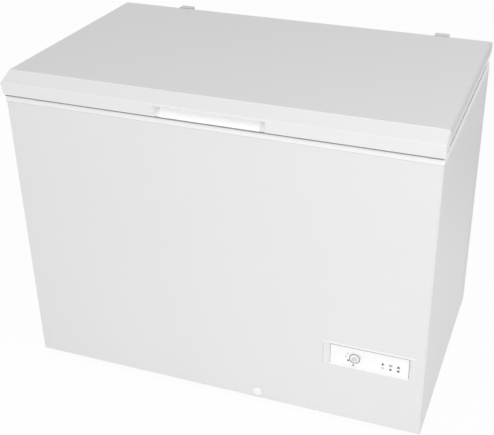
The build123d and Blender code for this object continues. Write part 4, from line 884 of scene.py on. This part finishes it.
def makeBasket():
    low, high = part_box("basket_hoop")
    r = (high[2] - low[2]) / 2
    x0, x1, y0, y1 = low[0] + r, high[0] - r, low[1] + r, high[1] - r
    level = high[2] - r
    middle = (y0 + y1) / 2
    hoop = [(x0, middle), (x0, y0), (x1, y0), (x1, y1), (x0, y1), (x0, middle + basketWire["hoopJoint"])]
    hookLow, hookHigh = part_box("basket_hangers")
    a, b, top = hookLow[0] + r, hookHigh[0] - r, hookHigh[2] - r
    hooks = []
    for inside, ledge in ((y0, hookLow[1] + r), (y1, hookHigh[1] - r)):
        hooks.append([(a, inside, level), (a, inside, top), (a, ledge, top),
                      (b, ledge, top), (b, inside, top), (b, inside, level)])
    uprights = []
    for low, high in solidBoxes("basket_side_wires"):
        x, y, _ = middleOf(low, high)
        uprights.append([(x, y, low[2]), (x, y, level)])
    floorRuns = []
    for low, high in solidBoxes("basket_floor_wires"):
        x, y, z = middleOf(low, high)
        along = high[0] - low[0] > high[1] - low[1]
        floorRuns.append([(low[0], y, z), (high[0], y, z)] if along else [(x, low[1], z), (x, high[1], z)])
    grid = basketWire["grid"]
    values = {"Sides": basketWire["sides"], "Material": finish["wireCoat"]}
    for name, node, runs, radius, bend in (
        ("basket.hoop", "basket_hoop", [[(x, y, level) for x, y in hoop]], r, basketWire["hoopBend"]),
        ("basket.hangers", "basket_hangers", hooks, r, basketWire["hangerBend"]),
        ("basket.uprights", "basket_side_wires", uprights, grid, 0.0),
        ("basket.floorWires", "basket_floor_wires", floorRuns, grid, 0.0),
    ):
        standFor(grown(name, runs, wireRun, {**values, "Radius": radius, "Bend": bend}), node)


makeBasket()


rimFootShade = {"tall": 0.0009, "proud": 0.0001, "backInset": 0.002}


def makeRimFootShade():
    # pale grey strip as painted shade where the rim's foot meets the painted sheet, front and sides
    low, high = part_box("outer_wrapper")
    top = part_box("top_rim")[0][2]
    proud, base = rimFootShade["proud"], top - rimFootShade["tall"]
    back = high[1] - rimFootShade["backInset"]

    def build(bm):
        path = [(high[0], back), (high[0], low[1]), (low[0], low[1]), (low[0], back)]
        out = [(x + (proud if x > 0 else -proud), y - (proud if y == low[1] else 0)) for x, y in path]
        rings = []
        for inner, outer in zip(path, out):
            spots = ((*inner, base), (*outer, base), (*outer, top), (*inner, top))
            rings.append([bm.verts.new(spot) for spot in spots])
        for ring, after in zip(rings, rings[1:]):
            for i in range(4):
                bm.faces.new((ring[i], ring[(i + 1) % 4], after[(i + 1) % 4], after[i]))
        for ring in (rings[0], rings[-1]):
            bm.faces.new(ring)
        bmesh.ops.recalc_face_normals(bm, faces=bm.faces)

    carry(dressed("rimFootShade", meshFrom(build, "rimFootShade"), finish["printPale"]), "cabinet")


makeRimFootShade()


# flatEnd is the share of the turns that lies closed at each end
spring = {"turns": 9, "wire": 0.0010, "stepsPerTurn": 20, "sides": 10, "flatEnd": 0.06}


def makeSprings():
    runs = []
    wire, perTurn, flatEnd = spring["wire"], spring["stepsPerTurn"], spring["flatEnd"]
    for low, high in solidBoxes("hinge_springs"):
        x, y, _ = middleOf(low, high)
        r = (high[0] - low[0]) / 2 - wire
        z0, z1 = low[2] + wire, high[2] - wire
        count = spring["turns"] * perTurn
        run = []
        for i in range(count + 1):
            rise = min(1, max(0, (i / count - flatEnd) / (1 - 2 * flatEnd)))
            a = 2 * math.pi * i / perTurn
            run.append((x + r * math.cos(a), y + r * math.sin(a), z0 + (z1 - z0) * rise))
        runs.append(run)
    values = {"Radius": wire, "Bend": 0.0, "Sides": spring["sides"], "Material": finish["brightSteel"]}
    piece = grown("hingeSprings.coiled", runs, wireRun, values)
    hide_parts("hinge_springs")
    low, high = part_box("hinge_springs")
    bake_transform(piece)


makeSprings()
print("wire pieces ready")


screws = {
    "height": 0.0018, "backTurn": (-math.pi / 2, 0, 0), "downTurn": (math.pi, 0, 0),
    "bracket": {"head": 0.0042, "inset": 0.006, "lift": 0.0015, "rows": (0.014, 0.060, 0.106)},
    "cover": {"head": 0.0030, "inset": 0.006, "sink": 0.0008},
    "back": {"head": 0.0030, "inset": 0.010, "end": 0.04, "rows": 5},
    "lamp": {"head": 0.0022, "inset": 0.0035},
}


def addScrews(name, points, turn, head, body):
    values = {"Head Radius": head, "Head Height": screws["height"], "Turn": screws[turn],
              "Material": finish["brightSteel"], "Recess Material": finish["darkPlastic"]}
    carry(grown(name, [[p] for p in points], crossScrews, values), body)


# the x places of two columns, the same way in from both sides
def columns(low, high, inset):
    return low[0] + inset, high[0] - inset


def makeScrews():
    kind = screws["bracket"]
    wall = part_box("back_panel")[1][1] + kind["lift"]
    points = []
    for side in ("left", "right"):
        low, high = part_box("hinge_bracket_" + side)
        points += [(x, wall, low[2] + row) for x in columns(low, high, kind["inset"]) for row in kind["rows"]]
    addScrews("bracketScrews", points, "backTurn", kind["head"], "cabinet")

    kind = screws["cover"]
    low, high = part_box("rear_grille")
    face, inset, half = low[1] + kind["sink"], kind["inset"], (low[2] + high[2]) / 2
    sides = columns(low, high, inset)
    points = [(x, face, z) for x in sides for z in (low[2] + inset, high[2] - inset)]
    points += [(x, face, half) for x in sides]
    addScrews("coverScrews", points, "backTurn", kind["head"], "cabinet")

    kind = screws["back"]
    low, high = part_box("back_panel")
    end, rows = kind["end"], kind["rows"]
    levels = [low[2] + end + (high[2] - low[2] - 2 * end) * i / (rows - 1) for i in range(rows)]
    points = [(x, high[1], z) for x in columns(low, high, kind["inset"]) for z in levels]
    addScrews("backScrews", points, "backTurn", kind["head"], "cabinet")

    kind = screws["lamp"]
    low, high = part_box("lid_lamp_base")
    middle = (low[1] + high[1]) / 2
    points = [(x, middle, low[2]) for x in columns(low, high, kind["inset"])]
    addScrews("lampScrews", points, "downTurn", kind["head"], "lid")


makeScrews()


seal = {
    "width": 0.016, "bend": 0.011, "cornerSteps": 6,
    # the dark strip of painted shade under the lid's front
    "gapShadeAhead": 0.0040, "gapShadeThick": 0.0010, "gapShadeLift": 0.0005, "gapShadeInset": 0.006, "gapShadeLap": 0.0006,
}


def makeSeal():
    low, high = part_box("lid_gasket")
    tall = high[2] - low[2]
    # (inward, height) outline: soft magnet pad, two bellows folds, root in the lid's channel
    outline = [(0.0008, 0), (0.0152, 0), (0.0160, 0.0008), (0.0158, 0.0058), (0.0148, 0.0070),
               (0.0122, 0.0078), (0.0134, 0.0096), (0.0122, 0.0114), (0.0112, 0.0130), (0.0114, tall),
               (0.0046, tall), (0.0048, 0.0130), (0.0038, 0.0114), (0.0026, 0.0096), (0.0038, 0.0078),
               (0.0012, 0.0070), (0.0002, 0.0058), (0.0000, 0.0008)]
    inset = seal["bend"] + seal["width"]
    steps = seal["cornerSteps"]
    left, right, front, back = low[0] + inset, high[0] - inset, low[1] + inset, high[1] - inset
    corners = [(right, back, 0), (left, back, 90), (left, front, 180), (right, front, 270)]

    def build(bm):
        rings = []
        for cx, cy, start in corners:
            for i in range(steps + 1):
                a = math.radians(start + 90 * i / steps)
                ring = []
                for inward, height in outline:
                    r = inset - inward
                    ring.append(bm.verts.new((cx + r * math.cos(a), cy + r * math.sin(a), low[2] + height)))
                rings.append(ring)
        for ring, after in zip(rings, rings[1:] + rings[:1]):
            for i in range(len(outline)):
                j = (i + 1) % len(outline)
                bm.faces.new((ring[i], ring[j], after[j], after[i]))
        bmesh.ops.recalc_face_normals(bm, faces=bm.faces)

    piece = dressed("lidSeal.moulded", meshFrom(build, "lidSeal.moulded"), finish["sealGrey"])
    standFor(finishEdges(piece, 0, sharp="faceted"), "lid_gasket")


def makeGapShadeStrip():
    # dark strip hanging from the front moulding: painted shade for the gap over the rim
    low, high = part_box("lid_front_fascia")
    rimLow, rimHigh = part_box("top_rim")
    y = rimLow[1] - seal["gapShadeAhead"]
    side = high[0] - seal["gapShadeInset"]
    strip = boxMesh("lidGap.shadeStrip", (-side, y, rimHigh[2] + seal["gapShadeLift"]),
                    (side, y + seal["gapShadeThick"], low[2] + seal["gapShadeLap"]))
    carry(dressed("lidGap.shadeStrip", strip, finish["paintedShadeGrey"]), "lid")


makeSeal()
makeGapShadeStrip()


lens = {"edge": 0.0012, "ribs": 13, "ribRadius": 0.0011, "ribSides": 8, "ribSink": 0.35, "inset": 0.006}


def makeLens():
    easedCopy("lid_lamp_lens", lens["edge"])
    low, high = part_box("lid_lamp_lens")
    inset, radius = lens["inset"], lens["ribRadius"]
    step = (high[0] - low[0] - 2 * inset) / (lens["ribs"] - 1)
    z = low[2] + radius * lens["ribSink"]
    runs = []
    for i in range(lens["ribs"]):
        x = low[0] + inset + step * i
        runs.append([(x, low[1] + inset, z), (x, high[1] - inset, z)])
    values = {"Radius": radius, "Bend": 0.0, "Sides": lens["ribSides"], "Material": finish["frostedLens"]}
    carry(grown("lidLamp.ribs", runs, wireRun, values), "lid")


makeLens()
print("seal, lens and screws ready")


studio = {
    "floorSize": 14, "floorShow": 0.95, "floorCloud": 0.8, "floorTones": (0.92, 0.94),
    "nearFloor": 0.9, "farFloor": 1.7, "farTone": 0.8,
    "sky": 0.72, "skyTilt": (-0.34, -0.05, 0.0),
}


def makeFloor():
    def build(bm):
        bmesh.ops.create_grid(bm, x_segments=1, y_segments=1, size=studio["floorSize"])

    material = bpy.data.materials.new("studioFloor")
    material.use_nodes = True
    tree = material.node_tree
    link = tree.links.new
    tree.nodes.clear()
    out = addNode(tree, "ShaderNodeOutputMaterial")
    plain = addNode(tree, "ShaderNodeBsdfDiffuse")
    noise = noiseAt(tree, None)
    noise.inputs["Scale"].default_value = studio["floorCloud"]
    blend = addNode(tree, "ShaderNodeMix", data_type="RGBA")
    for label, tone in zip("AB", studio["floorTones"]):
        blend.inputs[label].default_value = grey(tone) + (1,)
    link(noise.outputs["Fac"], blend.inputs["Factor"])
    link(blend.outputs["Result"], plain.inputs["Color"])
    path = addNode(tree, "ShaderNodeLightPath")
    seen = mathNode(tree, "MAXIMUM", path.outputs["Is Camera Ray"], path.outputs["Is Glossy Ray"])
    share = mathNode(tree, "MULTIPLY", seen, studio["floorShow"])
    # away from the object its reflection in glossy faces falls off
    place = addNode(tree, "ShaderNodeTexCoord")
    reach = addNode(tree, "ShaderNodeVectorMath", operation="LENGTH")
    fall = addNode(tree, "ShaderNodeMapRange")
    for label, value in (("From Min", studio["nearFloor"]), ("From Max", studio["farFloor"]), ("To Min", 1.0),
                         ("To Max", studio["farTone"])):
        fall.inputs[label].default_value = value
    link(place.outputs["Object"], reach.inputs[0])
    link(reach.outputs["Value"], fall.inputs["Value"])
    glow = addNode(tree, "ShaderNodeEmission")
    direct = mathNode(tree, "MAXIMUM", path.outputs["Is Camera Ray"], fall.outputs["Result"])
    link(direct, glow.inputs["Strength"])
    mix = addNode(tree, "ShaderNodeMixShader")
    link(share, mix.inputs["Fac"])
    link(plain.outputs[0], mix.inputs[1])
    link(glow.outputs[0], mix.inputs[2])
    link(mix.outputs[0], out.inputs["Surface"])
    dressed("studioFloor", meshFrom(build, "studioFloor"), material)


# the object is lit by a sky that is brighter on one side, and is seen in front of white
def makeSky():
    world = bpy.data.worlds.new("studioSky")
    scene.world = world
    world.use_nodes = True
    tree = world.node_tree
    link = tree.links.new
    tree.nodes.clear()
    out = addNode(tree, "ShaderNodeOutputWorld")
    light = addNode(tree, "ShaderNodeBackground")
    way = addNode(tree, "ShaderNodeTexCoord")
    lean = addNode(tree, "ShaderNodeVectorMath", operation="DOT_PRODUCT")
    lean.inputs[1].default_value = studio["skyTilt"]
    link(way.outputs["Generated"], lean.inputs[0])
    level = mathNode(tree, "MULTIPLY_ADD", lean.outputs["Value"], studio["sky"], studio["sky"])
    link(level, light.inputs["Strength"])
    shown = addNode(tree, "ShaderNodeBackground")
    shown.inputs["Color"].default_value = (1, 1, 1, 1)
    shown.inputs["Strength"].default_value = 1.0
    path = addNode(tree, "ShaderNodeLightPath")
    seen = mathNode(tree, "MAXIMUM", path.outputs["Is Camera Ray"], path.outputs["Is Transmission Ray"])
    mirrored = mathNode(tree, "MAXIMUM", seen, path.outputs["Is Glossy Ray"])
    mix = addNode(tree, "ShaderNodeMixShader")
    link(mirrored, mix.inputs["Fac"])
    link(light.outputs[0], mix.inputs[1])
    link(shown.outputs[0], mix.inputs[2])
    link(mix.outputs[0], out.inputs["Surface"])


lamps = {
    "frontBox": {"place": (0.9, -2.6, 0.30), "aim": (0.1, 0, 0.25), "size": 1.3, "power": 14},
    "leftBox": {"place": (-1.4, -2.5, 1.4), "aim": (-0.3, 0, 0.30), "size": 1.2, "power": 5},
    "topBox": {"place": (1.5, -1.5, 3.0), "aim": (0.2, -0.1, 0.9), "size": 1.8, "power": 30},
}


def makeLamps():
    for name, lamp in lamps.items():
        data = bpy.data.lights.new(name, "AREA")
        data.shape = "SQUARE"
        data.size = lamp["size"]
        data.energy = lamp["power"]
        light = bpy.data.objects.new(name, data)
        place = Vector(lamp["place"])
        toward = Vector(lamp["aim"]) - place
        light.matrix_world = Matrix.Translation(place) @ toward.to_track_quat("-Z", "Y").to_matrix().to_4x4()
        scene.collection.objects.link(light)


makeFloor()
makeSky()
makeLamps()
print("studio ready")
